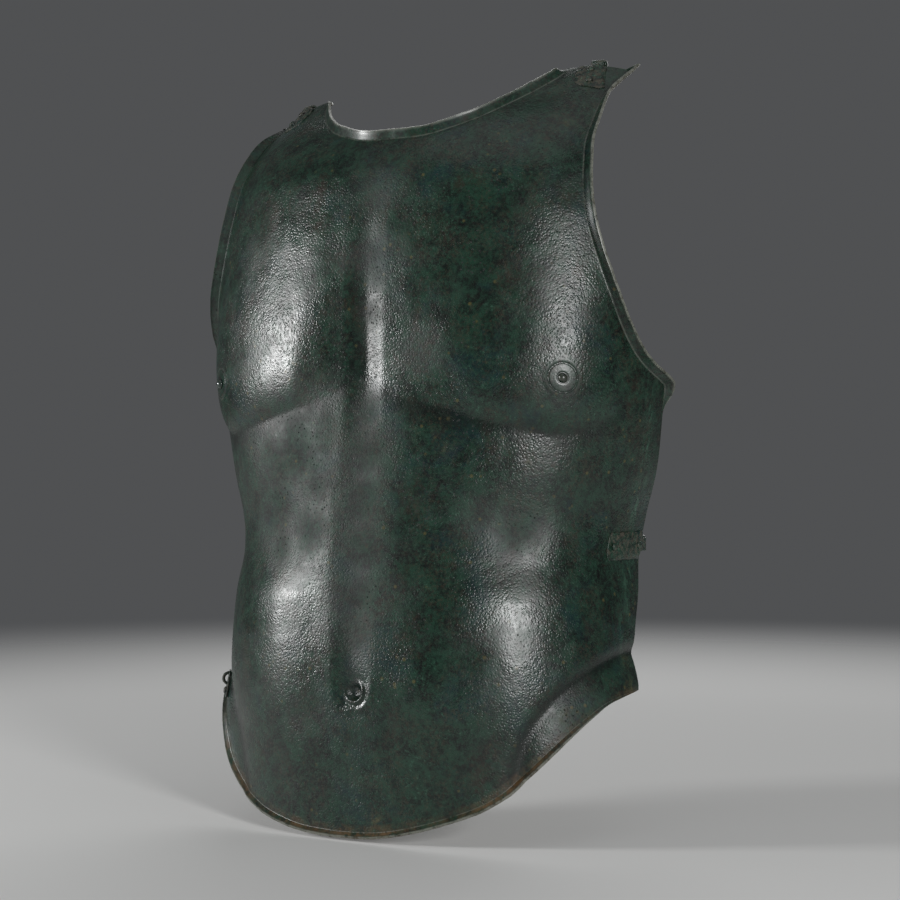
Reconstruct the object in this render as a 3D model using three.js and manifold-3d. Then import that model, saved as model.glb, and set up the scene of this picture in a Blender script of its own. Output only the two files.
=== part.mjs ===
// Breastplate of a bronze muscle cuirass, with the hinge halves riveted to it.
// Millimetres, +Z up. The wearer faces -Y, and the wearer's left arm is on the +X side.
// The origin lies on the midline, at the level of the belly rim's lowest point.
import * as THREE from 'three';
import Module from 'manifold-3d';
import { mergeVertices } from 'three/addons/utils/BufferGeometryUtils.js';

const wasm = await Module();
wasm.setup();

// Driving dimensions of the hammered plate
const plateHeight = 486;
const chestHalfWidth = 160;
const plateDepth = 118;
const sheet = 1.6;
const sectionPower = 2.3;

// Hand-made unevenness: the middle drifts towards the wearer's left low down, the neck opening
// sits a little to that side and the belly's lobe to the other, and the left shoulder stands
// higher than the right one, whose strap is also cut lower at its neck end
const midlineDrift = 7;
const driftEndShare = 0.45;
const neckTurn = 2.5;
const rightNeckTurn = 2.5;
const rightNeckDropShare = 0.03;
const bellyTurn = -7;
const bellyTurnShares = [0.3, 0.9];
const shoulderLean = 12;
const leanShares = [0.5, 0.875];
const leanWayShares = [0.78, 0.93];

// Stations up the plate: way, height, half width, seam depth, front depth
const stationShares = [
  [0, -0.051, 0.825, -0.08, -0.966],
  [0.095, 0.062, 0.838, -0.08, -0.992],
  [0.19, 0.175, 0.84, -0.08, -1],
  [0.25, 0.247, 0.842, -0.02, -0.983],
  [0.328, 0.34, 0.84, 0.115, -0.941],
  [0.38, 0.401, 0.87, 0.165, -0.907],
  [0.432, 0.463, 0.915, 0.153, -0.873],
  [0.531, 0.58, 0.975, 0.075, -0.805],
  [0.64, 0.71, 0.975, 0.135, -0.771],
  [0.71, 0.792, 0.98, 0.2, -0.74],
  [0.765, 0.854, 0.975, 0.31, -0.68],
  [0.82, 0.905, 0.97, 0.45, -0.497],
  [0.8725, 0.9465, 0.965, 0.56, -0.26],
  [0.918, 0.979, 0.958, 0.665, -0.09],
  [0.9595, 1, 0.945, 0.755, 0.075],
  [1.005, 1.0185, 0.93, 0.84, 0.27],
];
const meridianShare = 1.193;
const girthShare = 0.857;
const meridianLength = plateHeight * meridianShare;
const girthRadius = chestHalfWidth * girthShare;

// Outline of the plate: angle from the midline in degrees, way up the plate
const lowerEdgeShares = [
  [0, 0.052], [12, 0.0535], [20, 0.057], [31, 0.066], [40, 0.077], [46, 0.087], [51, 0.1], [55, 0.115],
  [59, 0.134], [62.5, 0.15], [66, 0.164], [70, 0.176], [75, 0.187], [80, 0.192], [90, 0.197],
];
const seamShares = [[90, 0.197], [90, 0.522]];
const armholeShares = [
  [90, 0.522], [80, 0.543], [72.8, 0.577], [67.3, 0.621], [62.3, 0.678], [59.7, 0.717],
  [57.6, 0.757], [56.8, 0.799], [59.4, 0.85], [64, 0.881], [66, 0.892],
];
const neckShares = [
  [0, 0.801], [8, 0.802], [15, 0.809], [26, 0.832], [34.5, 0.859], [42, 0.888], [47, 0.912], [48, 0.93],
];
const shoulderShares = [[48, 0.93], [66, 0.892]];

// Grid of the plate, in cells of one half across and up
const halfColumns = 20;
const gridRows = 40;
const neckEndColumn = 14;
const armpitRow = 20;
const crowding = 1.2;
const neckEndShare = (neckEndColumn / halfColumns) ** crowding;
const armpitShare = armpitRow / gridRows;

// Turned-out rims: widths, angles of turn in degrees, and where they fade
const openingRim = 7;
const shoulderRim = 9;
const shoulderRimShares = [0.75, 0.95];
const bellyRim = 4;
const cutRim = 1;
const neckRimTurn = 45;
const armRimTurn = 65;
const bellyRimTurn = 50;
const rimRootShare = 0.4;
const rimFadeShare = 0.05;
const leftBellyRimShares = [0.6, 1];
const rightBellyRimShares = [0.85, 1];

// Pectorals
const pectoralRise = 8;
const pectoralRoll = 13;
const breastboneRoll = 65;
const rightPectoralInner = [6, 66];
const leftPectoralInner = [26, 96];
const pectoralSideFrom = 58;
const pectoralSideTo = 82;
const pectoralTopShares = [0.56, 0.8];
const creaseShares = [
  [0, 0.545], [7.5, 0.523], [14, 0.508], [20, 0.503], [27, 0.497], [34, 0.49], [41, 0.4825],
  [48, 0.476], [52.5, 0.4725], [56, 0.4705], [60, 0.472], [67, 0.4815], [72, 0.492],
  [74.5, 0.508], [76.5, 0.535], [78, 0.575],
];

// Groove down the middle, ending round the navel, and the navel's raised ring
const grooveDepths = [
  [0, 1.6], [0.199, 1.7], [0.3, 1.3], [0.47, 1.4], [0.53, 2], [0.6, 2.2], [0.66, 1.4], [0.8, 0],
];
const grooveHalfWidth = 20;
const navelShare = 0.199;
const navelRingRadius = 5.4;
const navelBeadRadius = 1.2;
const navelSink = 0.3;

// Swell of the belly and the hollow of the waist
const bellySwell = 2.4;
const bellySwellShares = [0.34, 0.29, 0.2, 0.1];
const bellySwellFrom = 12;
const bellySwellTo = 30;
const waistHollow = 1.6;
const waistShare = 0.37;
const waistReach = 22;
const ribHollow = 3;
const ribShare = 0.375;
const ribReach = 30;
const ribAngles = [8, 22, 42, 60];

// Hip panel, which flares out below a furrow
const hipReach = 95;
const hipRise = 76;
const hipLowShare = 0.104;
const hipFlare = 5;
const hipFlareReach = 26;
const furrowDepth = 1.6;
const furrowWidth = 5;
const rightFurrowShare = 0.25;

// Fits between the pieces
const seatGap = 0.35;
const headGap = 0.3;
const runningGap = 0.25;
const cutOverrun = 4;

// Nipple discs and their studs
const nippleAngle = 58.4;
const nippleShare = 0.528;
const areolaRadius = 9;
const areolaThickness = 1.1;
const studHeadRadius = 3;
const studHeadHeight = 2.4;
const studShankRadius = 1.5;

// Hinge leaves and knuckles
const leafThickness = 1.4;
const shoulderLeafWidth = 20;
const shoulderLeafLength = 20;
const shoulderLeafShift = 4;
const shoulderLeafShare = 0.5;
const sideLeafWidth = 18;
const sideLeafLength = 40;
const sideLeafShare = 0.349;
const knuckleRadius = 3;
const knuckleLength = 8.4;
const knuckleEdgeGap = 1.8;
const leafEdgeInset = 1.2;
const tongueOverlap = 3;

// Hinge pins
const pinRadius = 1.4;
const pinHeadRadius = 2.6;
const pinHeadHeight = 1.3;
const pinTailInset = 0.6;

// Rivets
const rivetShankRadius = 1.3;
const rivetHeadRadius = 2.4;
const rivetHeadHeight = 1.3;
const rivetTailSpread = 0.9;
const rivetTailHeight = 0.9;
const rivetEndInset = 5;

// Hip lug on the wearer's right
const lugAngle = 66;
const lugShare = 0.188;
const lugHeight = 18;
const lugWidth = 7;
const lugThickness = 1.2;
const lugRivetInset = 4.5;
const lugLoopRadius = 3.6;
const lugLoopWire = 1;
const lugLoopInset = 5.6;

// Facets
const roundSides = 14;
const wireSides = 8;
const domeSteps = 3;
const padCells = 4;
const tongueCells = 2;
const smallStep = 0.05;
const smallTurn = THREE.MathUtils.radToDeg(smallStep / girthRadius);
const smallWay = smallStep / meridianLength;

const patina = new THREE.MeshStandardMaterial({ color: 0x26382f, roughness: 0.45, metalness: 0.75 });
const corroded = new THREE.MeshStandardMaterial({ color: 0x3d4a3c, roughness: 0.7, metalness: 0.55 });
const worn = new THREE.MeshStandardMaterial({ color: 0x544b33, roughness: 0.5, metalness: 0.8 });

// Shape helpers
function smooth(from, to, value) {
  const share = THREE.MathUtils.clamp((value - from) / (to - from), 0, 1);
  return share * share * (3 - 2 * share);
}

function slopeAt(rows, column, index) {
  const before = rows[Math.max(index - 1, 0)];
  const after = rows[Math.min(index + 1, rows.length - 1)];
  return (after[column] - before[column]) / (after[0] - before[0]);
}

// Smooth value of a column through rows that are sorted by their first column
function through(rows, column, key) {
  const last = rows.length - 1;
  const place = THREE.MathUtils.clamp(key, rows[0][0], rows[last][0]);
  let index = 0;
  while (index < last - 1 && rows[index + 1][0] <= place) index += 1;
  const step = rows[index + 1][0] - rows[index][0];
  const t = (place - rows[index][0]) / step;
  const start = rows[index][column];
  const end = rows[index + 1][column];
  const startSlope = slopeAt(rows, column, index) * step;
  const endSlope = slopeAt(rows, column, index + 1) * step;
  const cube = t * t * t;
  const square = t * t;
  return (2 * cube - 3 * square + 1) * start + (cube - 2 * square + t) * startSlope
    + (3 * square - 2 * cube) * end + (cube - square) * endSlope;
}

// Plain torso form, before any relief
function torso(angle, way) {
  const turn = THREE.MathUtils.degToRad(angle);
  const halfWidth = chestHalfWidth * through(stationShares, 2, way);
  const seam = plateDepth * through(stationShares, 3, way);
  const depth = seam - plateDepth * through(stationShares, 4, way);
  const across = Math.abs(Math.sin(turn)) / halfWidth;
  const forward = Math.abs(Math.cos(turn)) / depth;
  const radius = (across ** sectionPower + forward ** sectionPower) ** (-1 / sectionPower);
  const drift = midlineDrift * (1 - smooth(0, driftEndShare, way));
  const fromMiddle = Math.abs(radius * Math.sin(turn)) / chestHalfWidth;
  const leanShare = smooth(...leanShares, fromMiddle) * smooth(...leanWayShares, way);
  const lean = Math.sign(turn) * shoulderLean * leanShare;
  const x = radius * Math.sin(turn) + drift;
  const y = seam - radius * Math.cos(turn);
  const z = plateHeight * through(stationShares, 1, way) + lean;
  return new THREE.Vector3(x, y, z);
}

function normalOf(form, angle, way) {
  const side = form(angle + smallTurn, way).sub(form(angle - smallTurn, way));
  const rise = form(angle, way + smallWay).sub(form(angle, way - smallWay));
  return side.cross(rise).normalize();
}

function pectoralAt(angle, way, across, left) {
  const crease = through(creaseShares, 1, angle);
  const ahead = through(creaseShares, 1, angle + smallTurn);
  const slope = (ahead - crease) * meridianLength / smallStep;
  const above = (way - crease) * meridianLength / Math.hypot(1, slope);
  if (above <= 0) return 0;
  const inner = smooth(...(left ? leftPectoralInner : rightPectoralInner), across);
  const reach = breastboneRoll + (pectoralRoll - breastboneRoll) * inner;
  const roll = 1 - Math.exp(-above / reach);
  const top = 1 - smooth(...pectoralTopShares, way);
  const side = 1 - smooth(pectoralSideFrom, pectoralSideTo, angle);
  return pectoralRise * roll * top * side;
}

function grooveAt(way, across) {
  const below = Math.min(way - navelShare, 0) * meridianLength;
  const distance = Math.hypot(across, below);
  const depth = through(grooveDepths, 1, way);
  return -depth * (1 - smooth(0, grooveHalfWidth, distance));
}

function bellyAt(angle, way) {
  const [start, full, hold, end] = bellySwellShares;
  const swell = bellySwell * smooth(start, full, way) * smooth(end, hold, way);
  const waist = waistHollow * Math.exp(-(((way - waistShare) * meridianLength / waistReach) ** 2));
  const [ribStart, ribFull, ribHold, ribEnd] = ribAngles;
  const ribBand = Math.exp(-(((way - ribShare) * meridianLength / ribReach) ** 2));
  const ribs = ribHollow * ribBand * smooth(ribStart, ribFull, angle) * smooth(ribEnd, ribHold, angle);
  return (swell - waist) * smooth(bellySwellFrom, bellySwellTo, angle) - ribs;
}

function hipAt(way, across, left) {
  const side = girthRadius * Math.PI / 2;
  const reach = (side - across) / hipReach;
  const rise = Math.max(way - hipLowShare, 0) * meridianLength / hipRise;
  const inside = (1 - Math.hypot(reach, rise)) * (hipReach + hipRise) / 2;
  const deep = furrowDepth * (left ? 1 : rightFurrowShare);
  const furrow = -deep * Math.exp(-((inside / furrowWidth) ** 2));
  return furrow + hipFlare * smooth(0, hipFlareReach, inside);
}

// Outer skin of the plate
function skin(angle, way) {
  const turned = Math.abs(angle);
  const across = girthRadius * THREE.MathUtils.degToRad(turned);
  const left = angle > 0;
  const muscles = pectoralAt(turned, way, across, left) + grooveAt(way, across) + bellyAt(turned, way);
  const relief = muscles + hipAt(way, across, left);
  return torso(angle, way).addScaledVector(normalOf(torso, angle, way), relief);
}

const skinNormal = (angle, way) => normalOf(skin, angle, way);

// Point a share of the way along an outline, measured on the plate
function along(points, share) {
  const rows = [[0, ...points[0]]];
  for (let index = 1; index < points.length; index += 1) {
    const turn = THREE.MathUtils.degToRad(points[index][0] - points[index - 1][0]) * girthRadius;
    const rise = (points[index][1] - points[index - 1][1]) * meridianLength;
    rows.push([rows[index - 1][0] + Math.hypot(turn, rise), ...points[index]]);
  }
  const length = rows[rows.length - 1][0];
  return [through(rows, 1, share * length), through(rows, 2, share * length)];
}

function sideEdge(share) {
  if (share <= armpitShare) return along(seamShares, share / armpitShare);
  return along(armholeShares, (share - armpitShare) / (1 - armpitShare));
}

function topEdge(share) {
  if (share <= neckEndShare) return along(neckShares, share / neckEndShare);
  return along(shoulderShares, (share - neckEndShare) / (1 - neckEndShare));
}

// Angle and way of a place on the plate, blended from the four edges of one half
function placeAt(side, across, up) {
  const low = along(lowerEdgeShares, across);
  const high = topEdge(across);
  const outer = sideEdge(up);
  const corners = [lowerEdgeShares[0], along(lowerEdgeShares, 1), neckShares[0], shoulderShares[1]];
  const blend = (axis) => {
    const middle = corners[0][axis] * (1 - up) + corners[2][axis] * up;
    const lines = low[axis] * (1 - up) + high[axis] * up + middle * (1 - across) + outer[axis] * across;
    const lowCorners = corners[0][axis] * (1 - across) + corners[1][axis] * across;
    const highCorners = corners[2][axis] * (1 - across) + corners[3][axis] * across;
    return lines - lowCorners * (1 - up) - highCorners * up;
  };
  const fade = up * (1 - smooth(neckEndShare, 1, across));
  const right = Math.max(-side, 0) * smooth(0, neckEndShare, across);
  const lobe = bellyTurn * (1 - up) * (1 - smooth(...bellyTurnShares, across));
  const uneven = (neckTurn + rightNeckTurn * right) * fade + lobe;
  return [side * blend(0) + uneven, blend(1) - rightNeckDropShare * right * fade * up];
}

const acrossAt = (column) => (Math.abs(column) / halfColumns) ** crowding;
const gridPlace = (column, row) => placeAt(Math.sign(column), acrossAt(column), row / gridRows);

// Turned rim at a border point: its width and the angle that it turns out by
function rimAt(column, row) {
  const across = acrossAt(column);
  const up = row / gridRows;
  if (row === 0) {
    const shares = column < 0 ? rightBellyRimShares : leftBellyRimShares;
    const belly = 1 - smooth(...shares, across);
    return [cutRim + (bellyRim - cutRim) * belly, bellyRimTurn * belly];
  }
  const armhole = smooth(armpitShare - rimFadeShare, armpitShare, up);
  const neck = 1 - smooth(neckEndShare - rimFadeShare, neckEndShare, across);
  if (row === gridRows && across < 1) return [cutRim + (openingRim - cutRim) * neck, neckRimTurn * neck];
  const wide = openingRim + (shoulderRim - openingRim) * smooth(...shoulderRimShares, up);
  return [cutRim + (wide - cutRim) * armhole, armRimTurn * armhole];
}

function borderLoop() {
  const loop = [];
  for (let column = -halfColumns; column < halfColumns; column += 1) loop.push([column, 0]);
  for (let row = 0; row < gridRows; row += 1) loop.push([halfColumns, row]);
  for (let column = halfColumns; column > -halfColumns; column -= 1) loop.push([column, gridRows]);
  for (let row = gridRows; row > 0; row -= 1) loop.push([-halfColumns, row]);
  return loop;
}

// Outer and inner point of the turned rim's root or lip, square to the border there
function rimPoints(column, row, before, home, after, lip) {
  const [width, turn] = rimAt(column, row);
  const fullTurn = THREE.MathUtils.degToRad(turn);
  const edge = after.clone().sub(before).normalize();
  const normal = skinNormal(...gridPlace(column, row));
  const outward = edge.clone().cross(normal).normalize();
  const heading = (angle) => {
    const level = outward.clone().multiplyScalar(Math.cos(angle));
    return level.addScaledVector(normal, Math.sin(angle));
  };
  const point = home.clone().addScaledVector(heading(fullTurn / 2), width * rimRootShare);
  if (lip) point.addScaledVector(heading(fullTurn), width * (1 - rimRootShare));
  const face = edge.cross(heading(lip ? fullTurn : fullTurn / 2)).normalize();
  return [point, point.clone().addScaledVector(face, sheet)];
}

// Closed sheet: a grid of outer points, two rings of turned rim, and the same again inside
function plateSolid() {
  const columns = 2 * halfColumns + 1;
  const border = borderLoop();
  const count = border.length;
  const outer = [];
  const inner = [];
  for (let row = 0; row <= gridRows; row += 1) {
    for (let column = -halfColumns; column <= halfColumns; column += 1) {
      const place = gridPlace(column, row);
      const point = skin(...place);
      outer.push(point);
      inner.push(point.clone().addScaledVector(skinNormal(...place), -sheet));
    }
  }
  const gridIndex = (column, row) => row * columns + column + halfColumns;
  const ringStart = outer.length;
  const edgePoints = border.map(([column, row]) => outer[gridIndex(column, row)]);
  for (const lip of [false, true]) {
    for (let index = 0; index < count; index += 1) {
      const before = edgePoints[(index + count - 1) % count];
      const after = edgePoints[(index + 1) % count];
      const [outside, inside] = rimPoints(...border[index], before, edgePoints[index], after, lip);
      outer.push(outside);
      inner.push(inside);
    }
  }
  const faces = [];
  const quad = (a, b, c, d) => faces.push([a, b, c], [a, c, d]);
  for (let row = 0; row < gridRows; row += 1) {
    for (let column = -halfColumns; column < halfColumns; column += 1) {
      const corner = gridIndex(column, row);
      quad(corner, corner + 1, corner + 1 + columns, corner + columns);
    }
  }
  const ringIndex = (ring, index) => {
    const place = index % count;
    return ring < 0 ? gridIndex(...border[place]) : ringStart + ring * count + place;
  };
  for (const ring of [0, 1]) {
    for (let index = 0; index < count; index += 1) {
      const home = ringIndex(ring - 1, index);
      const next = ringIndex(ring - 1, index + 1);
      quad(ringIndex(ring, index), ringIndex(ring, index + 1), next, home);
    }
  }
  const layer = outer.length;
  const triangles = faces.flatMap(([a, b, c]) => [a, b, c, a + layer, c + layer, b + layer]);
  for (let index = 0; index < count; index += 1) {
    const near = ringIndex(1, index);
    const far = ringIndex(1, index + 1);
    triangles.push(near, near + layer, far, far, near + layer, far + layer);
  }
  return solidOf([...outer, ...inner], triangles);
}

// Solids
function solidOf(points, triangles) {
  const vertProperties = new Float32Array(points.flatMap((point) => point.toArray()));
  const triVerts = new Uint32Array(triangles);
  return new wasm.Manifold(new wasm.Mesh({ numProp: 3, vertProperties, triVerts }));
}

function solidOfGeometry(geometry) {
  const bare = geometry.clone();
  bare.deleteAttribute('normal');
  bare.deleteAttribute('uv');
  const merged = mergeVertices(bare);
  const vertProperties = new Float32Array(merged.attributes.position.array);
  const triVerts = new Uint32Array(merged.index.array);
  return new wasm.Manifold(new wasm.Mesh({ numProp: 3, vertProperties, triVerts }));
}

function meshOf(name, solid, material) {
  const { vertProperties, triVerts } = solid.getMesh();
  const geometry = new THREE.BufferGeometry();
  geometry.setAttribute('position', new THREE.BufferAttribute(new Float32Array(vertProperties), 3));
  geometry.setIndex(new THREE.BufferAttribute(new Uint32Array(triVerts), 1));
  geometry.computeVertexNormals();
  const mesh = new THREE.Mesh(geometry, material);
  mesh.name = name;
  return mesh;
}

function moved(solid, shift) {
  const { vertProperties, triVerts } = solid.getMesh();
  const places = vertProperties.map((value, index) => value + shift.getComponent(index % 3));
  return new wasm.Manifold(new wasm.Mesh({ numProp: 3, vertProperties: places, triVerts }));
}

// Solid turned about its own axis, from a profile of radius and height
function turned(profile, place, axis) {
  const points = profile.map(([radius, height]) => new THREE.Vector2(radius, height));
  const geometry = new THREE.LatheGeometry(points, roundSides);
  geometry.applyQuaternion(new THREE.Quaternion().setFromUnitVectors(new THREE.Vector3(0, 1, 0), axis));
  geometry.translate(...place.toArray());
  return solidOfGeometry(geometry);
}

function rod(radius, from, to, place, axis) {
  return turned([[0, from], [radius, from], [radius, to], [0, to]], place, axis);
}

// Place on the skin, in millimetres along an edge of the plate and inwards from it.
// Edge and inward directions are given in degrees and ways, with edge x inwards facing out.
function seat(angle, way, edgeTurn, edgeRise, inTurn, inRise) {
  const home = skin(angle, way);
  const edgeReach = skin(angle + edgeTurn, way + edgeRise).distanceTo(home);
  const inReach = skin(angle + inTurn, way + inRise).distanceTo(home);
  const place = (edge, inwards) => [
    angle + edgeTurn * edge / edgeReach + inTurn * inwards / inReach,
    way + edgeRise * edge / edgeReach + inRise * inwards / inReach,
  ];
  const normal = (edge, inwards) => skinNormal(...place(edge, inwards));
  const point = (edge, inwards, lift) => {
    return skin(...place(edge, inwards)).addScaledVector(normal(edge, inwards), lift);
  };
  return { point, normal };
}

// Pad of even thickness that follows the skin, over a patch whose shares run from -1 to 1
function pad(where, shape, cells, lift, thickness) {
  const points = [];
  for (const level of [lift + thickness, lift]) {
    for (let row = 0; row <= cells; row += 1) {
      for (let column = 0; column <= cells; column += 1) {
        const [edge, inwards] = shape(2 * column / cells - 1, 2 * row / cells - 1);
        points.push(where.point(edge, inwards, level));
      }
    }
  }
  const side = cells + 1;
  const layer = side * side;
  const triangles = [];
  const quad = (a, b, c, d) => triangles.push(a, b, c, a, c, d);
  for (let row = 0; row < cells; row += 1) {
    for (let column = 0; column < cells; column += 1) {
      const corner = row * side + column;
      quad(corner, corner + 1, corner + side + 1, corner + side);
      quad(corner + layer, corner + side + layer, corner + side + 1 + layer, corner + 1 + layer);
    }
  }
  for (let step = 0; step < cells; step += 1) {
    const top = cells * side + step;
    const left = step * side;
    const right = left + cells;
    quad(step, step + layer, step + 1 + layer, step + 1);
    quad(top, top + 1, top + 1 + layer, top + layer);
    quad(right, right + layer, right + side + layer, right + side);
    quad(left, left + side, left + side + layer, left + layer);
  }
  return solidOf(points, triangles);
}

const block = (edgeHalf, from, to, shift = 0) => (u, v) => {
  return [shift + u * edgeHalf, from + (v + 1) / 2 * (to - from)];
};
const rounded = (own, other) => own * Math.sqrt(1 - other * other / 2);
const disc = (radius) => (u, v) => [radius * rounded(u, v), radius * rounded(v, u)];

function domeProfile(radius, height, base) {
  const profile = [];
  for (let step = 0; step < domeSteps; step += 1) {
    const turn = Math.PI / 2 * step / domeSteps;
    profile.push([radius * Math.cos(turn), base + height * Math.sin(turn)]);
  }
  profile.push([0, base + height]);
  return profile;
}

// How far the plate reaches inwards round a rivet, measured from the skin
function innerFace(place, axis, radius) {
  const plug = plate.intersect(rod(radius, -sheet - cutOverrun, 0, place, axis));
  const { vertProperties } = plug.getMesh();
  const levels = [-sheet];
  for (let index = 0; index < vertProperties.length; index += 3) {
    levels.push(new THREE.Vector3().fromArray(vertProperties, index).sub(place).dot(axis));
  }
  return Math.min(...levels);
}

// Rivet closed over the sheet and what is on it, with its head outside and its tail inside
function rivet(place, axis, grip, shank, head, headHeight) {
  const spread = shank + rivetTailSpread;
  const low = innerFace(place, axis, spread) - headGap;
  const tail = low - rivetTailHeight;
  const profile = [
    [0, tail], [spread, tail + rivetTailHeight / 2], [spread, low], [shank, low], [shank, grip],
    ...domeProfile(head, headHeight, grip),
  ];
  return turned(profile, place, axis);
}

function rivetHole(place, axis, shank) {
  return rod(shank + runningGap, -sheet - cutOverrun, cutOverrun, place, axis);
}

const group = new THREE.Group();
let plate = plateSolid();

// Pad that lies on the plate with the seat gap under it
function seated(where, shape, cells, thickness) {
  const clearance = moved(plate, where.normal(0, 0).multiplyScalar(seatGap));
  return pad(where, shape, cells, seatGap, thickness).subtract(clearance);
}

// Disc of the nipple, held by a stud through the plate
function addNipple(side, name) {
  const where = seat(side * nippleAngle, nippleShare, smallTurn, 0, 0, smallWay);
  const place = where.point(0, 0, 0);
  const axis = where.normal(0, 0);
  const hole = rivetHole(place, axis, studShankRadius);
  const areola = seated(where, disc(areolaRadius), padCells, areolaThickness).subtract(hole);
  const grip = seatGap + areolaThickness + headGap;
  const stud = rivet(place, axis, grip, studShankRadius, studHeadRadius, studHeadHeight);
  plate = plate.subtract(hole);
  group.add(meshOf(`areola_${name}`, areola, patina));
  group.add(meshOf(`nipple_stud_${name}`, stud, worn));
}

// Hinge half: a leaf riveted to the plate, its knuckle just past the plate's edge, and its pin.
// The leaf's middle lies leafShift along the edge from its knuckle.
function addHinge(name, where, leafWidth, leafLength, leafShift, axis) {
  const knuckleReach = cutRim + knuckleEdgeGap + knuckleRadius;
  const knuckleLift = seatGap + leafThickness - knuckleRadius;
  const centre = where.point(0, -knuckleReach, knuckleLift);
  const half = knuckleLength / 2;
  const sheetShape = block(leafWidth / 2, leafEdgeInset, leafLength, leafShift);
  let leaf = seated(where, sheetShape, padCells, leafThickness);
  leaf = leaf.add(seated(where, block(half, -knuckleReach, tongueOverlap), tongueCells, leafThickness));
  leaf = leaf.subtract(rod(knuckleRadius + headGap, half, half + leafLength, centre, axis));
  leaf = leaf.subtract(rod(knuckleRadius + headGap, -half - leafLength, -half, centre, axis));
  leaf = leaf.add(rod(knuckleRadius, -half, half, centre, axis));
  leaf = leaf.subtract(rod(pinRadius + runningGap, -half - cutOverrun, half + cutOverrun, centre, axis));
  [rivetEndInset, leafLength - rivetEndInset].forEach((inwards, index) => {
    const place = where.point(leafShift, inwards, 0);
    const normal = where.normal(leafShift, inwards);
    const hole = rivetHole(place, normal, rivetShankRadius);
    const grip = seatGap + leafThickness + headGap;
    const fastener = rivet(place, normal, grip, rivetShankRadius, rivetHeadRadius, rivetHeadHeight);
    leaf = leaf.subtract(hole);
    plate = plate.subtract(hole);
    group.add(meshOf(`${name}_rivet_${index + 1}`, fastener, corroded));
  });
  const pinTop = half + headGap;
  const pinProfile = [
    [0, pinTailInset - half], [pinRadius, pinTailInset - half], [pinRadius, pinTop],
    ...domeProfile(pinHeadRadius, pinHeadHeight, pinTop),
  ];
  group.add(meshOf(`${name}_leaf`, leaf, corroded));
  group.add(meshOf(`${name}_pin`, turned(pinProfile, centre, axis), worn));
}

function addShoulderHinge(side, name) {
  const across = neckEndShare + (1 - neckEndShare) * shoulderLeafShare;
  const [angle, way] = placeAt(side, across, 1);
  const [nextAngle, nextWay] = placeAt(side, across - side * smallWay, 1);
  const where = seat(angle, way, nextAngle - angle, nextWay - way, 0, -smallWay);
  const axis = where.point(-side * smallStep, 0, 0).sub(where.point(0, 0, 0)).setZ(0).normalize();
  const shift = side * shoulderLeafShift;
  addHinge(`shoulder_hinge_${name}`, where, shoulderLeafWidth, shoulderLeafLength, shift, axis);
}

function addSideHinge(side, name) {
  const where = seat(side * seamShares[0][0], sideLeafShare, 0, side * smallWay, -side * smallTurn, 0);
  const axis = new THREE.Vector3(0, 0, 1);
  addHinge(`side_hinge_${name}`, where, sideLeafWidth, sideLeafLength, 0, axis);
}

// Small lug with a loop, riveted to the flared hip panel on the wearer's right
function addHipLug() {
  const where = seat(-lugAngle, lugShare, smallTurn, 0, 0, smallWay);
  const half = lugHeight / 2;
  const place = where.point(0, lugRivetInset - half, 0);
  const axis = where.normal(0, lugRivetInset - half);
  const hole = rivetHole(place, axis, rivetShankRadius);
  const loopPlace = where.point(0, half - lugLoopInset, seatGap + lugThickness / 2);
  const loopAxis = where.normal(0, half - lugLoopInset);
  const ring = new THREE.TorusGeometry(lugLoopRadius, lugLoopWire, wireSides, roundSides);
  const upright = where.point(0, half, 0).sub(where.point(0, -half, 0)).normalize();
  const across = loopAxis.clone().cross(upright).normalize();
  const rise = across.clone().cross(loopAxis).negate();
  const basis = new THREE.Matrix4().makeBasis(loopAxis, rise, across.negate());
  ring.applyMatrix4(basis.setPosition(loopPlace));
  const below = rod(lugHeight, -lugHeight, 0, loopPlace, loopAxis);
  const shape = (u, v) => [u * lugWidth / 2, v * half];
  const base = seated(where, shape, padCells, lugThickness).subtract(hole);
  const grip = seatGap + lugThickness + headGap;
  const fastener = rivet(place, axis, grip, rivetShankRadius, rivetHeadRadius, rivetHeadHeight);
  plate = plate.subtract(hole);
  group.add(meshOf('hip_lug_right', base.add(solidOfGeometry(ring).subtract(below)), corroded));
  group.add(meshOf('hip_lug_rivet', fastener, corroded));
}

function raiseNavel() {
  const axis = skinNormal(0, navelShare);
  const place = skin(0, navelShare).addScaledVector(axis, -navelSink);
  const ring = new THREE.TorusGeometry(navelRingRadius, navelBeadRadius, wireSides, roundSides);
  ring.applyQuaternion(new THREE.Quaternion().setFromUnitVectors(new THREE.Vector3(0, 0, 1), axis));
  ring.translate(...place.toArray());
  plate = plate.add(solidOfGeometry(ring));
}

for (const [side, name] of [[1, 'left'], [-1, 'right']]) {
  addNipple(side, name);
  addShoulderHinge(side, name);
  addSideHinge(side, name);
}
addHipLug();
raiseNavel();
group.add(meshOf('breastplate', plate, patina));

export default group;
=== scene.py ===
# Bronze muscle breastplate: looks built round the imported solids.
# Lengths are in millimetres until a piece is placed; Blender's own are metres.
import math
import bpy
import numpy as np
from mathutils import Matrix, Vector, noise


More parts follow.
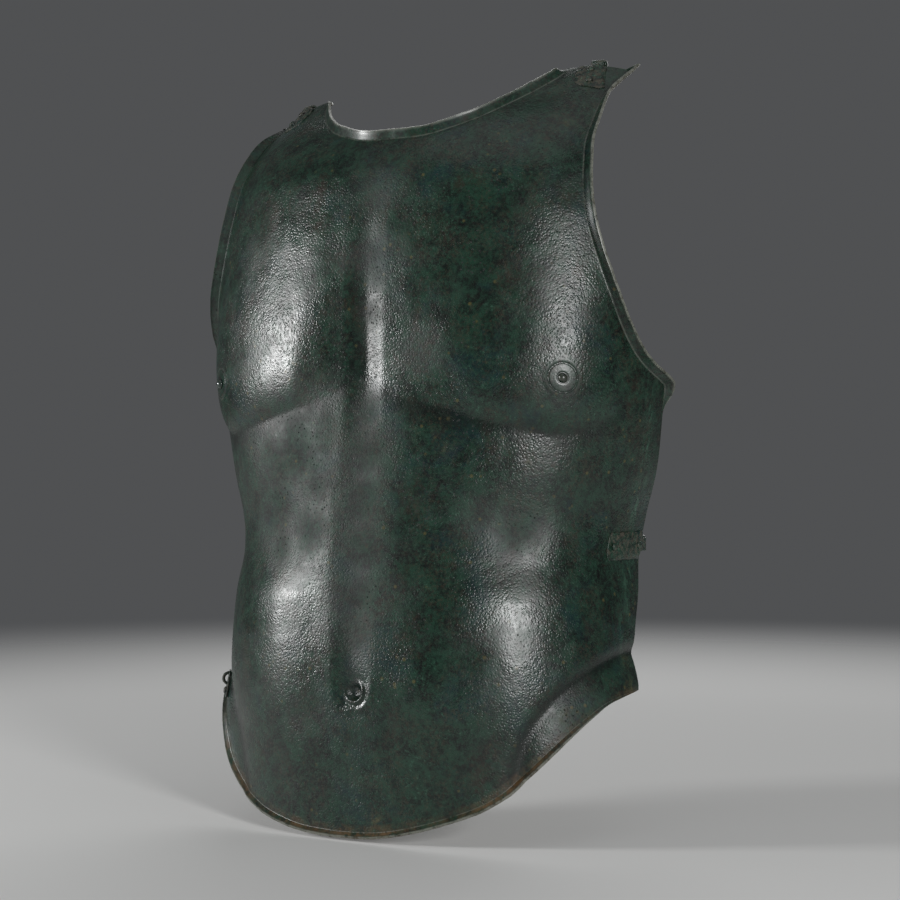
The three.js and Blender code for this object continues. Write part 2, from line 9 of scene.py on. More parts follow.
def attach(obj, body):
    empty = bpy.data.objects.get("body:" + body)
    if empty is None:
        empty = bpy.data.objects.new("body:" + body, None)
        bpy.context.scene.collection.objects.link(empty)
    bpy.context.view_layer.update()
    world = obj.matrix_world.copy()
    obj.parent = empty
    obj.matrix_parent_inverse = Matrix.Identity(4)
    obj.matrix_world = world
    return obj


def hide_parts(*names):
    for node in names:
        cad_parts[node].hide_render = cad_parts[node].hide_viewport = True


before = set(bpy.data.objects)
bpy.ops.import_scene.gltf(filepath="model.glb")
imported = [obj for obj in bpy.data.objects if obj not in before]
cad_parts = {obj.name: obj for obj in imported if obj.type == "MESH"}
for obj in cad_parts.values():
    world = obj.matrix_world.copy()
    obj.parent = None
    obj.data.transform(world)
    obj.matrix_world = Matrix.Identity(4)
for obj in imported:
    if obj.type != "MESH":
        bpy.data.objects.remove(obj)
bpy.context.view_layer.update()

MM = 0.001

# Camera, at the photograph's angle
CAMERA_PLACE = (0.6867, -1.2245, 0.237)
CAMERA_TURN = 29
CAMERA_LENS = 85.68
CAMERA_SENSOR = 36

# Lamps: azimuth, elevation, distance in metres, width, height, watts
LAMPS = {
    "near_lamp": (52, 11, 1.7, 0.3, 0.42, 13),
    "far_lamp": (-54, 9, 1.7, 0.32, 0.28, 15),
    "top_lamp": (10, 78, 1.8, 1.6, 1.6, 3),
    "back_lamp": (196, 28, 1.9, 1.5, 1.5, 13),
}
LAMP_TARGET = (0, 0, 0.24)
ROOM = (0.08, 0.082, 0.085, 1)
FLOOR = (0.74, 0.74, 0.73, 1)
FLOOR_RADIUS = 1.8
FLOOR_DROP = 0.0006
FLOOR_FADE = (0.7, 1.7)

# Hammered plate
PLATE_HEIGHT = 486
CHEST_HALF_WIDTH = 160
PLATE_DEPTH = 118
SHEET = 1.6
SECTION_POWER = 2.3
MERIDIAN = PLATE_HEIGHT * 1.193
GIRTH_RADIUS = CHEST_HALF_WIDTH * 0.857

# Hand-made unevenness
MIDLINE_DRIFT = 7
DRIFT_END = 0.45
NECK_TURN = 2.5
RIGHT_NECK_TURN = 2.5
RIGHT_NECK_DROP = 0.03
BELLY_TURN = -7
BELLY_TURN_SHARES = (0.3, 0.9)
SHOULDER_LEAN = 12
LEAN_SHARES = (0.5, 0.875)
LEAN_WAYS = (0.78, 0.93)

# Stations up the plate: way, height, half width, seam depth, front depth
STATIONS = np.array((
    (0, -0.051, 0.825, -0.08, -0.966),
    (0.095, 0.062, 0.838, -0.08, -0.992),
    (0.19, 0.175, 0.84, -0.08, -1),
    (0.25, 0.247, 0.842, -0.02, -0.983),
    (0.328, 0.34, 0.84, 0.115, -0.941),
    (0.38, 0.401, 0.87, 0.165, -0.907),
    (0.432, 0.463, 0.915, 0.153, -0.873),
    (0.531, 0.58, 0.975, 0.075, -0.805),
    (0.64, 0.71, 0.975, 0.135, -0.771),
    (0.71, 0.792, 0.98, 0.2, -0.74),
    (0.765, 0.854, 0.975, 0.31, -0.68),
    (0.82, 0.905, 0.97, 0.45, -0.497),
    (0.8725, 0.9465, 0.965, 0.56, -0.26),
    (0.918, 0.979, 0.958, 0.665, -0.09),
    (0.9595, 1, 0.945, 0.755, 0.075),
    (1.005, 1.0185, 0.93, 0.84, 0.27),
))

# Outline of the plate: angle from the midline in degrees, way up the plate
LOWER_EDGE = (
    (0, 0.052), (12, 0.0535), (20, 0.057), (31, 0.066), (40, 0.077), (46, 0.087), (51, 0.1), (55, 0.115),
    (59, 0.134), (62.5, 0.15), (66, 0.164), (70, 0.176), (75, 0.187), (80, 0.192), (90, 0.197),
)
SEAM = ((90, 0.197), (90, 0.522))
ARMHOLE = (
    (90, 0.522), (80, 0.543), (72.8, 0.577), (67.3, 0.621), (62.3, 0.678), (59.7, 0.717),
    (57.6, 0.757), (56.8, 0.799), (59.4, 0.85), (64, 0.881), (66, 0.892),
)
NECK = ((0, 0.801), (8, 0.802), (15, 0.809), (26, 0.832), (34.5, 0.859), (42, 0.888), (47, 0.912), (48, 0.93))
SHOULDER = ((48, 0.93), (66, 0.892))

# Pattern of the plate: cells of one half across and up, and how they crowd to the midline
HALF_COLUMNS = 92
ROWS = 196
CROWDING = 1.2
NECK_END = 0.7 ** CROWDING
ARMPIT = 0.5
RELAX_ROUNDS = 220
NAVEL_PATCH = 21
NAVEL_CUTS = 2
BORDER = 1 - 1e-4

# Turned-out rims
RING_STEP = 0.01
RING_SHARES = (0.05, 0.1, 0.16, 0.24, 0.38, 0.56, 0.74, 0.88, 1)
RIM_ROOT = 0.22
LIP_SHARES = (0.72, 1)
LIP_TURN = 28
OPENING_RIM = 7
SHOULDER_RIM = 9
SHOULDER_RIM_SHARES = (0.6, 1)
BELLY_RIM = 4
CUT_RIM = 1
NECK_RIM_TURN = 45
ARM_RIM_TURN = 65
BELLY_RIM_TURN = 50
RIM_FADE = 0.05
RIGHT_RIM_FADE = (0.9, 1)
RIGHT_RIM_CUT = 0.75
BELLY_RIM_SHARES = (0.6, 1)
RIGHT_BELLY_RIM_SHARES = (0.85, 1)

# Pectorals
PECTORAL_RISE = 8
PECTORAL_ROLL = 13
BREASTBONE_ROLL = 65
PECTORAL_INNER = (6, 66)
LEFT_PECTORAL_INNER = (26, 96)
PECTORAL_SIDE = (58, 82)
PECTORAL_SIDE_WAYS = (0.57, 0.66)
PECTORAL_TOP = (0.56, 0.8)
CREASE = np.array((
    (0, 0.545), (7.5, 0.523), (14, 0.508), (20, 0.503), (27, 0.497), (34, 0.49), (41, 0.4825),
    (48, 0.476), (52.5, 0.4725), (56, 0.4705), (60, 0.472), (67, 0.4815), (72, 0.492),
    (74.5, 0.508), (76.5, 0.535), (78, 0.575),
))

# Groove down the middle, and the navel
GROOVE_DEPTH = 2.2
GROOVE_DEPTHS = (
    (0, 1.6), (0.199, 1.7), (0.3, 1.3), (0.47, 1.4), (0.53, 2), (0.6, 2.2), (0.66, 1.4), (0.8, 0),
)
GROOVE_HALF_WIDTH = 20
NAVEL_WAY = 0.199
NAVEL_SHIFT = 1.6
NAVEL_WIDEN = 1.08
NAVEL_RING_RADIUS = 5.6
NAVEL_RING_RISE = 2.2
NAVEL_RING_WIDTH = 1.7
NAVEL_RING_LOW = 0.15
NAVEL_RING_LEAN = 1.4
NAVEL_RING_WAVE = 2.6
NAVEL_PIT_DEPTH = 1.2
NAVEL_PIT = (1.5, 4.6)
NAVEL_DISH_DEPTH = 2
NAVEL_DISH_RADIUS = 9
NAVEL_LIP_RADIUS = 10
NAVEL_LIP_RISE = 0.9
NAVEL_LIP_WIDTH = 3

# Belly, waist and hip panels
BELLY_SWELL = 2.4
BELLY_SWELL_WAYS = (0.34, 0.29, 0.2, 0.1)
BELLY_SWELL_ANGLES = (12, 30)
WAIST_HOLLOW = 1.6
WAIST_WAY = 0.37
WAIST_REACH = 22
RIB_HOLLOW = 3
RIB_WAY = 0.375
RIB_REACH = 30
RIB_ANGLES = (8, 22, 42, 60)
HIP_REACH = 95
HIP_RISE = 76
HIP_LOW_WAY = 0.104
HIP_FLARE = 5
HIP_FLARE_REACH = 26
FURROW_DEPTH = 1.6
FURROW_WIDTH = 5
RIGHT_FURROW_SHARE = 0.25

# Marks of the hammer: how high and how far apart
HAMMER_MARKS = ((0.4, 38), (0.12, 15), (0.03, 5))
EDGE_CHIP = 0.22
EDGE_CHIP_LENGTH = 7
EDGE_CHIPS = ((EDGE_CHIP, EDGE_CHIP_LENGTH), (EDGE_CHIP * 0.6, EDGE_CHIP_LENGTH * 0.35))

# Rust along the belly rim: angle, reach in degrees, strength
RUST_SPOTS = ((2, 13, 1), (48, 9, 0.9), (-25, 9, 0.5), (66, 6, 0.5), (-55, 12, 0.4), (84, 6, 0.7))
RUST_LEVEL = 0.35
RUST_ANGLES = (55, 75)

# Ochre blooms: angle, way, reach, strength
BLOOMS = (
    (8, 0.066, 4, 1), (85.5, 0.2, 5, 0.8), (86, 0.228, 4, 0.6), (63, 0.178, 3.5, 0.7), (52, 0.815, 3, 0.6),
    (27, 0.453, 3, 0.5), (48, 0.442, 3, 0.5), (-40, 0.12, 5, 0.3),
)

# Dull patina: angle, way, reach, strength
DULL_PLACES = (
    (-14, 0.47, 24, 0.8), (-15, 0.42, 26, 0.8), (-16, 0.37, 24, 0.8), (-24, 0.45, 30, 1), (-30, 0.44, 28, 1),
    (-32, 0.39, 28, 1), (-28, 0.35, 16, 0.8), (-50, 0.41, 26, 0.8), (-44, 0.46, 18, 0.7), (-20, 0.5, 12, 0.6),
    (2, 0.49, 14, 0.9), (2, 0.6, 12, 0.6), (3, 0.45, 24, 1), (3, 0.4, 24, 1), (3, 0.35, 24, 1),
    (3, 0.3, 24, 1), (3, 0.26, 18, 0.8), (46, 0.372, 18, 0.8), (34, 0.385, 14, 0.7), (3, 0.66, 22, 0.8),
    (3, 0.74, 24, 0.8), (22, 0.56, 16, 0.6), (72, 0.16, 26, 1),
)

# Pale streak along the seam edges
STREAK_INSET = 15
STREAK_WIDTH = 5
STREAK_WAYS = (0.2, 0.26, 0.5, 0.56)

# Painted shade in the hollows: under the pectorals, in the groove and in the hip's furrow
UNDER_START = (-3, 0)
UNDER_END = (2, 14)
UNDER_SIDE = (4, 20)
UNDER_PAINTED_SHADE = 0.8
GROOVE_PAINTED_SHADE = 0.7

# Where worn edges, lightened also as a painted highlight, and rusty edges lie on the rim, as shares of its
# width
LIP_WEAR_AND_HIGHLIGHT = (0.8, 1)
ROOT_WEAR_AND_HIGHLIGHT = (0.12, 0.06)
ROOT_WEAR_AND_HIGHLIGHT_SHARE = 0.5
RUST_BAND = (0.45, 0.5)
FAR_EDGE = -0.99
BELLY_EDGE = -0.985

# Fits between pieces, and eased edges
SEAT_GAP = 0.35
HEAD_GAP = 0.3
PIN_PLAY = 0.22
PLATE_BEVEL = 0.4
LEAF_BEVEL = 0.28
STRAP_BEVEL = 0.3

# Hinge leaves, crusty and rolled round their pins
LEAF_THICKNESS = 1.4
LEAF_EDGE_INSET = 1.2
LEAF_COLUMNS = 12
LEAF_CELL = 1.4
LEAF_WAVE = 0.55
LEAF_WAVE_LENGTH = 4
LEAF_SINK = 0.95
LEAF_SINK_START = 0.62
LEAF_CORNER = 2.2
CORNER_SIDE = (0.6, 1)
CORNER_END = (0.7, 1)
SHOULDER_LEAF_WIDTH = 20
SHOULDER_LEAF_LENGTH = 20
SHOULDER_LEAF_SHIFT = 4
SHOULDER_LEAF_SHARE = 0.5
SIDE_LEAF_WIDTH = 18
SIDE_LEAF_LENGTH = 40
SIDE_LEAF_WAY = 0.349
KNUCKLE_RADIUS = 3
KNUCKLE_LENGTH = 8.4
KNUCKLE_REACH = 5.8
TONGUE_PLAY = 0.9
TONGUE_ROWS = 5
ROLL_ROWS = 22
ROLL_TURN = 330
ROLL_BLEND = 0.8
CLOSE = 0.01

# Pins and rivets
PIN_RADIUS = 1.4
PIN_TIP = 0.25
PIN_HEAD_RADIUS = 2.6
PIN_HEAD_HEIGHT = 1.3
PIN_TAIL_INSET = 0.6
RIVET_RADIUS = 1.3
RIVET_HEAD_RADIUS = 2.4
RIVET_HEAD_HEIGHT = 1.3
RIVET_HEAD_SINK = 0.2
RIVET_TAIL_SPREAD = 0.9
RIVET_TAIL_HEIGHT = 0.9
RIVET_INSET = 5
RIVET_INNER = -SHEET - 0.6
HEAD_STEP = 0.12
HEAD_EDGE = 0.25
HEAD_ROUGHNESS = (0.09, 1.7)

# Nipples: discs with a boss
NIPPLE_ANGLE = 58.4
NIPPLE_WAY = 0.528
AREOLA_RADIUS = 9
AREOLA_THICKNESS = 0.66
AREOLA_RISE = 0.3
AREOLA_EDGE = 0.05
AREOLA_SKIRT = 6
AREOLA_RING_DEPTH = 0.5
AREOLA_RING_WIDTH = 0.42
AREOLA_WELL_DEPTH = 0.25
AREOLA_RINGS = (
    3.6, 3, 2.3, 1.6, 1, 0.75, 0.6, 0.45, 0.3, 0.15, 0, -0.15, -0.3, -0.45, -0.6, -0.8, -1.1, -2, -2.8, -3.6,
    -4.4, -4.8, -5.1, -5.4, -5.7, -6, -6.3, -6.7, -7.3, -8,
)
STUD_RADIUS = 1.5
STUD_HEAD_RADIUS = 3
STUD_HEAD_HEIGHT = 2.9

# Lug with a loop at the right hip
LUG_ANGLE = 66
LUG_WAY = 0.188
LUG_HEIGHT = 18
LUG_WIDTH = 7
LUG_THICKNESS = 1.2
LUG_RIVET_INSET = 4.5
LUG_LOOP_RADIUS = 3.6
LUG_LOOP_WIRE = 1
LUG_LOOP_INSET = 5.6
LUG_TAPER = 0.18
LOOP_ROUGHNESS = (0.15, 2.5)

# Steps that slopes are measured over
SMALL_STEP = 0.05
SMALL_TURN = math.degrees(SMALL_STEP / GIRTH_RADIUS)
SMALL_WAY = SMALL_STEP / MERIDIAN


# Torso form, the same as in the solids
def smooth(start, end, value):
    share = np.clip((value - start) / (end - start), 0, 1)
    return share * share * (3 - 2 * share)


def bump(middle, width, value):
    return np.exp(-(((value - middle) / width) ** 2))


def through(rows, column, key):
    rows = np.asarray(rows, float)
    last = len(rows) - 1
    keys = rows[:, 0]
    values = rows[:, column]
    place = np.clip(key, keys[0], keys[last])
    index = np.clip(np.searchsorted(keys, place, side="right") - 1, 0, last - 1)
    step = keys[index + 1] - keys[index]
    t = (place - keys[index]) / step
    before = np.maximum(np.arange(last + 1) - 1, 0)
    after = np.minimum(np.arange(last + 1) + 1, last)
    slopes = (values[after] - values[before]) / (keys[after] - keys[before])
    square = t * t
    cube = square * t
    start = (2 * cube - 3 * square + 1) * values[index] + (cube - 2 * square + t) * slopes[index] * step
    return start + (3 * square - 2 * cube) * values[index + 1] + (cube - square) * slopes[index + 1] * step


def torso(angle, way):
    turn = np.radians(angle)
    half_width = CHEST_HALF_WIDTH * through(STATIONS, 2, way)
    seam = PLATE_DEPTH * through(STATIONS, 3, way)
    depth = seam - PLATE_DEPTH * through(STATIONS, 4, way)
    across = np.abs(np.sin(turn)) / half_width
    forward = np.abs(np.cos(turn)) / depth
    radius = (across ** SECTION_POWER + forward ** SECTION_POWER) ** (-1 / SECTION_POWER)
    drift = MIDLINE_DRIFT * (1 - smooth(0, DRIFT_END, way))
    from_middle = np.abs(radius * np.sin(turn)) / CHEST_HALF_WIDTH
    lean = np.sign(turn) * SHOULDER_LEAN * smooth(*LEAN_SHARES, from_middle) * smooth(*LEAN_WAYS, way)
    height = PLATE_HEIGHT * through(STATIONS, 1, way) + lean
    return np.stack((radius * np.sin(turn) + drift, seam - radius * np.cos(turn), height), -1)


def unit(vectors):
    return vectors / np.linalg.norm(vectors, axis=-1, keepdims=True)


def normal_of(form, angle, way):
    side = form(angle + SMALL_TURN, way) - form(angle - SMALL_TURN, way)
    rise = form(angle, way + SMALL_WAY) - form(angle, way - SMALL_WAY)
    return unit(np.cross(side, rise))


def pectoral_at(angle, way, across, left):
    crease = through(CREASE, 1, angle)
    slope = (through(CREASE, 1, angle + SMALL_TURN) - crease) * MERIDIAN / SMALL_STEP
    above = np.maximum((way - crease) * MERIDIAN / np.hypot(1, slope), 0)
    inner = np.where(left, smooth(*LEFT_PECTORAL_INNER, across), smooth(*PECTORAL_INNER, across))
    roll = 1 - np.exp(-above / (BREASTBONE_ROLL + (PECTORAL_ROLL - BREASTBONE_ROLL) * inner))
    side = smooth(*PECTORAL_SIDE, angle) * (1 - smooth(*PECTORAL_SIDE_WAYS, way))
    fade = (1 - smooth(*PECTORAL_TOP, way)) * (1 - side)
    return PECTORAL_RISE * roll * fade


def groove_at(way, across):
    below = np.minimum(way - NAVEL_WAY, 0) * MERIDIAN
    depth = through(GROOVE_DEPTHS, 1, way)
    return -depth * (1 - smooth(0, GROOVE_HALF_WIDTH, np.hypot(across, below)))


def belly_at(angle, way):
    start, full, hold, end = BELLY_SWELL_WAYS
    swell = BELLY_SWELL * smooth(start, full, way) * smooth(end, hold, way)
    waist = WAIST_HOLLOW * bump(WAIST_WAY, WAIST_REACH / MERIDIAN, way)
    start, full, hold, end = RIB_ANGLES
    ribs = RIB_HOLLOW * bump(RIB_WAY, RIB_REACH / MERIDIAN, way)
    ribs = ribs * smooth(start, full, angle) * smooth(end, hold, angle)
    return (swell - waist) * smooth(*BELLY_SWELL_ANGLES, angle) - ribs


def hip_inside(way, across):
    reach = (GIRTH_RADIUS * math.pi / 2 - across) / HIP_REACH
    rise = np.maximum(way - HIP_LOW_WAY, 0) * MERIDIAN / HIP_RISE
    return (1 - np.hypot(reach, rise)) * (HIP_REACH + HIP_RISE) / 2


def hip_at(way, across, left):
    inside = hip_inside(way, across)
    furrow = FURROW_DEPTH * bump(0, FURROW_WIDTH, inside) * np.where(left, 1, RIGHT_FURROW_SHARE)
    return HIP_FLARE * smooth(0, HIP_FLARE_REACH, inside) - furrow


def skin(angle, way):
    turned = np.abs(angle)
    across = GIRTH_RADIUS * np.radians(turned)
    relief = pectoral_at(turned, way, across, angle > 0) + groove_at(way, across)
    relief = relief + belly_at(turned, way) + hip_at(way, across, angle > 0)
    return torso(angle, way) + normal_of(torso, angle, way) * relief[..., None]


def navel_relief(angle, way, marks):
    away = torso(angle, way) - torso(np.float64(0), np.float64(NAVEL_WAY))
    across = (away[..., 0] - NAVEL_SHIFT) / NAVEL_WIDEN
    up = away[..., 2]
    distance = np.hypot(across, up) + marks * NAVEL_RING_WAVE
    reach = NAVEL_RING_RADIUS * NAVEL_RING_LEAN
    lean = NAVEL_RING_LOW + (1 - NAVEL_RING_LOW) * smooth(-reach, reach, across - up)
    ring = NAVEL_RING_RISE * lean * bump(NAVEL_RING_RADIUS, NAVEL_RING_WIDTH, distance)
    pit = NAVEL_PIT_DEPTH * (1 - smooth(*NAVEL_PIT, distance))
    lip = NAVEL_LIP_RISE * bump(NAVEL_LIP_RADIUS, NAVEL_LIP_WIDTH, distance)
    lip = lip * smooth(0, NAVEL_LIP_RADIUS, across - up)
    dish = NAVEL_DISH_DEPTH * bump(0, NAVEL_DISH_RADIUS, distance)
    return ring - pit + lip - dish


# Outline and pattern of the plate
def along(points, share):
    points = np.asarray(points, float)
    steps = np.hypot(np.radians(np.diff(points[:, 0])) * GIRTH_RADIUS, np.diff(points[:, 1]) * MERIDIAN)
    run = np.concatenate(([0], np.cumsum(steps)))
    rows = np.column_stack((run, points))
    return np.stack((through(rows, 1, share * run[-1]), through(rows, 2, share * run[-1])), -1)


def side_edge(up):
    low = along(SEAM, np.minimum(up / ARMPIT, 1))
    high = along(ARMHOLE, np.clip((up - ARMPIT) / (1 - ARMPIT), 0, 1))
    return np.where((up <= ARMPIT)[..., None], low, high)


def top_edge(across):
    low = along(NECK, np.minimum(across / NECK_END, 1))
    high = along(SHOULDER, np.clip((across - NECK_END) / (1 - NECK_END), 0, 1))
    return np.where((across <= NECK_END)[..., None], low, high)


def blended(across, up):
    low = along(LOWER_EDGE, across)
    high = top_edge(across)
    outer = side_edge(up)
    u = up[..., None]
    a = across[..., None]
    middle = np.array(LOWER_EDGE[0]) * (1 - u) + np.array(NECK[0]) * u
    lines = low * (1 - u) + high * u + middle * (1 - a) + outer * a
    low_corners = np.array(LOWER_EDGE[0]) * (1 - a) + np.array(LOWER_EDGE[-1]) * a
    high_corners = np.array(NECK[0]) * (1 - a) + np.array(SHOULDER[-1]) * a
    return lines - low_corners * (1 - u) - high_corners * u


def uneven(place, side, across, up):
    fade = up * (1 - smooth(NECK_END, 1, across))
    right = np.maximum(-side, 0) * smooth(0, NECK_END, across)
    lobe = BELLY_TURN * (1 - up) * (1 - smooth(*BELLY_TURN_SHARES, across))
    angle = side * place[..., 0] + (NECK_TURN + RIGHT_NECK_TURN * right) * fade + lobe
    return angle, place[..., 1] - RIGHT_NECK_DROP * right * fade * up


def place_at(side, across, up):
    across, up = np.float64(across), np.float64(up)
    return uneven(blended(across, up), np.float64(side), across, up)


def relaxed_pattern():
    """Places of one half's grid, eased over a set number of rounds against folded or pinched cells."""
    columns = (np.arange(HALF_COLUMNS + 1) / HALF_COLUMNS) ** CROWDING
    across, up = np.meshgrid(columns, np.arange(ROWS + 1) / ROWS)
    place = blended(across, up)
    flat = [np.radians(place[..., 0]) * GIRTH_RADIUS, place[..., 1] * MERIDIAN]
    for _ in range(RELAX_ROUNDS):
        runs = [(grid[1:-1, 2:] - grid[1:-1, :-2]) / 2 for grid in flat]
        rises = [(grid[2:, 1:-1] - grid[:-2, 1:-1]) / 2 for grid in flat]
        rise_square = rises[0] ** 2 + rises[1] ** 2
        run_square = runs[0] ** 2 + runs[1] ** 2
        skew = runs[0] * rises[0] + runs[1] * rises[1]
        for grid in flat:
            corners = (grid[2:, 2:] - grid[2:, :-2] - grid[:-2, 2:] + grid[:-2, :-2]) / 4
            level = rise_square * (grid[1:-1, 2:] + grid[1:-1, :-2])
            upright = run_square * (grid[2:, 1:-1] + grid[:-2, 1:-1])
            grid[1:-1, 1:-1] = (level + upright - 2 * skew * corners) / (2 * (rise_square + run_square))
    return np.stack((np.degrees(flat[0] / GIRTH_RADIUS), flat[1] / MERIDIAN), -1)


def sampled(pattern, columns, rows):
    left = np.clip(columns.astype(int), 0, HALF_COLUMNS - 1)
    low = np.clip(rows.astype(int), 0, ROWS - 1)
    u = (columns - left)[..., None]
    v = (rows - low)[..., None]
    bottom = pattern[low, left] * (1 - u) + pattern[low, left + 1] * u
    top = pattern[low + 1, left] * (1 - u) + pattern[low + 1, left + 1] * u
    return bottom * (1 - v) + top * v


def rim_at(side, across, up, lower, upper):
    """Width of the rim and the angle that it turns out by, at places on the border."""
    belly = 1 - np.where(side < 0, smooth(*RIGHT_BELLY_RIM_SHARES, across), smooth(*BELLY_RIM_SHARES, across))
    arm = smooth(ARMPIT - RIM_FADE, ARMPIT, up)
    neck = 1 - smooth(NECK_END - RIM_FADE, NECK_END, across)
    wide = OPENING_RIM + (SHOULDER_RIM - OPENING_RIM) * smooth(*SHOULDER_RIM_SHARES, up) * (side > 0)
    wide = wide * (1 - RIGHT_RIM_CUT * smooth(*RIGHT_RIM_FADE, up) * (side < 0))
    width = np.where(lower, CUT_RIM + (BELLY_RIM - CUT_RIM) * belly, CUT_RIM + (wide - CUT_RIM) * arm)
    width = np.where(upper, CUT_RIM + (OPENING_RIM - CUT_RIM) * neck, width)
    turn = np.where(lower, BELLY_RIM_TURN * belly, ARM_RIM_TURN * arm)
    turn = np.where(upper, NECK_RIM_TURN * neck, turn)
    return width, np.radians(turn)


# Modelling by hand
def rest_hands():
    if bpy.context.object and bpy.context.object.mode != "OBJECT":
        bpy.ops.object.mode_set(mode="OBJECT")
    bpy.ops.object.select_all(action="DESELECT")


def named(name):
    piece = bpy.context.object
    piece.name = name
    piece.data.name = name
    return piece


def points_of(piece):
    flat = np.empty(len(piece.data.vertices) * 3)
    piece.data.vertices.foreach_get("co", flat)
    return flat.reshape(-1, 3)


def put_points(piece, points):
    piece.data.vertices.foreach_set("co", np.asarray(points, float).ravel())
    piece.data.update()


def finish_with(piece, kind, **settings):
    modifier = piece.modifiers.new(kind.title(), kind)
    for name, value in settings.items():
        setattr(modifier, name, value)
    bpy.context.view_layer.objects.active = piece
    bpy.ops.object.modifier_apply(modifier=modifier.name)


def ease_edges(piece, width, angle):
    limit = math.radians(angle)
    finish_with(piece, "BEVEL", width=width * MM, segments=2, limit_method="ANGLE", angle_limit=limit)


def soften(piece, angle=40):
    bpy.ops.object.select_all(action="DESELECT")
    piece.select_set(True)
    bpy.context.view_layer.objects.active = piece
    bpy.ops.object.shade_smooth_by_angle(angle=math.radians(angle))


def measure(piece, name, values):
    attribute = piece.data.attributes.get(name) or piece.data.attributes.new(name, "FLOAT", "POINT")
    attribute.data.foreach_set("value", np.asarray(values, np.float32))


def hammered(points, marks, seed=0):
    """Height of the hammer's marks at each point."""
    total = np.zeros(len(points))
    for height, length in marks:
        shift = Vector((seed * 3.7, length, seed * 1.3))
        total += [height * noise.noise(Vector(point) / length + shift) for point in points]
    return total


# Front plate
def add_plate():
    pattern = relaxed_pattern()
    plate = plate_pattern(pattern)
    flat = points_of(plate)
    size = np.maximum(np.abs(flat[:, :2]).max(1), 1)
    ring = np.rint((size - 1) / RING_STEP).astype(int)
    x, y = (flat[:, :2] / size[:, None]).T
    x, y = np.where(ring > 0, np.round(x, 6), x), np.where(ring > 0, np.round(y, 6), y)
    side = np.sign(np.round(x, 7))
    across = np.abs(x) ** CROWDING
    up = (y + 1) / 2
    angle, way = uneven(sampled(pattern, np.abs(x) * HALF_COLUMNS, up * ROWS), side, across, up)
    normal = normal_of(skin, angle, way)
    points = skin(angle, way)
    marks = hammered(points, HAMMER_MARKS)
    points = points + normal * (navel_relief(angle, way, marks) + marks)[:, None]
    turn_out_rims(points, normal, ring, x, y, rim_at(side, across, up, *end_edges(x, y)))
    put_points(plate, points * MM)
    mark_plate(plate, angle, way, x, y, ring)
    outer_count = len(plate.data.vertices)
    finish_with(plate, "SOLIDIFY", thickness=SHEET * MM, offset=-1,
                use_even_offset=True, use_quality_normals=True)
    measure(plate, "inside", (np.arange(len(plate.data.vertices)) >= outer_count).astype(float))
    ease_edges(plate, PLATE_BEVEL, 60)
    soften(plate, 50)
    return plate


def plate_pattern(pattern):
    """Flat grid, finer round the navel, with the rims' rings drawn out of its border."""
    rest_hands()
    bpy.ops.mesh.primitive_grid_add(x_subdivisions=2 * HALF_COLUMNS, y_subdivisions=ROWS, size=2)
    plate = named("hammered_plate")
    navel_row = np.argmin(np.abs(pattern[:, 0, 1] - NAVEL_WAY)) / ROWS * 2 - 1
    reach_up = NAVEL_PATCH / MERIDIAN / (pattern[-1, 0, 1] - pattern[0, 0, 1]) * 2
    reach_side = (NAVEL_PATCH / (GIRTH_RADIUS * math.pi / 2)) ** (1 / CROWDING)
    # Only faces round the navel are cut, so nothing else may stay selected
    bpy.context.tool_settings.mesh_select_mode = (False, False, True)
    for parts in (plate.data.vertices, plate.data.edges, plate.data.polygons):
        parts.foreach_set("select", [False] * len(parts))
    for face in plate.data.polygons:
        x, y, _ = face.center
        face.select = bool((x / reach_side) ** 2 + ((y - navel_row) / reach_up) ** 2 < 1)
    bpy.ops.object.mode_set(mode="EDIT")
    bpy.ops.mesh.select_mode(type="FACE")
    bpy.ops.mesh.subdivide(number_cuts=NAVEL_CUTS)
    bpy.ops.mesh.select_mode(type="EDGE")
    bpy.ops.mesh.select_all(action="DESELECT")
    bpy.ops.mesh.select_non_manifold(extend=False)
    size = 1
    for _ in RING_SHARES:
        bpy.ops.mesh.extrude_edges_move()
        bpy.ops.transform.resize(value=((size + RING_STEP) / size,) * 3)
        size += RING_STEP
    bpy.ops.object.mode_set(mode="OBJECT")
    return plate


def end_edges(x, y):
    """Whether each point is on the belly's edge, and whether it is on the neck's."""
    return y < -BORDER, (y > BORDER) & (np.abs(x) < BORDER)


def turn_out_rims(points, normal, ring, x, y, rim):
    """Move the rings' points out from the border, each turned further than the last."""
    width, turn = rim
    border = (ring == 0) & (np.maximum(np.abs(x), np.abs(y)) > BORDER)
    keys = {}
    for index in np.flatnonzero(border):
        keys[(round(float(x[index]), 4), round(float(y[index]), 4))] = index
    loop = sorted(keys.values(), key=lambda index: math.atan2(y[index], x[index]))
    edge = points[loop]
    tangent = unit(np.roll(edge, -1, 0) - np.roll(edge, 1, 0))
    outward = unit(np.cross(tangent, normal[loop]))
    width, turn = width[loop], turn[loop]
    width = width + hammered(edge, EDGE_CHIPS, seed=5) * np.minimum(width / BELLY_RIM, 1)
    spot = {index: number for number, index in enumerate(loop)}
    shares = np.concatenate(([0], RING_SHARES))
    steps = []
    for start, end in zip(shares[:-1], shares[1:]):
        middle = (start + end) / 2
        heading = turn * (smooth(0, RIM_ROOT, middle) + LIP_TURN / ARM_RIM_TURN * smooth(*LIP_SHARES, middle))
        lean = outward * np.cos(heading)[:, None] + normal[loop] * np.sin(heading)[:, None]
        steps.append(lean * (width * (end - start))[:, None])
    reach = np.concatenate((np.zeros((1, len(loop), 3)), np.cumsum(steps, 0)))
    for index in np.flatnonzero(ring > 0):
        home = keys[(round(float(x[index]), 4), round(float(y[index]), 4))]
        points[index] = points[home] + reach[ring[index], spot[home]]


def distance_to(angle, way, middle_angle, middle_way):
    return np.hypot(GIRTH_RADIUS * np.radians(angle - middle_angle), (way - middle_way) * MERIDIAN)


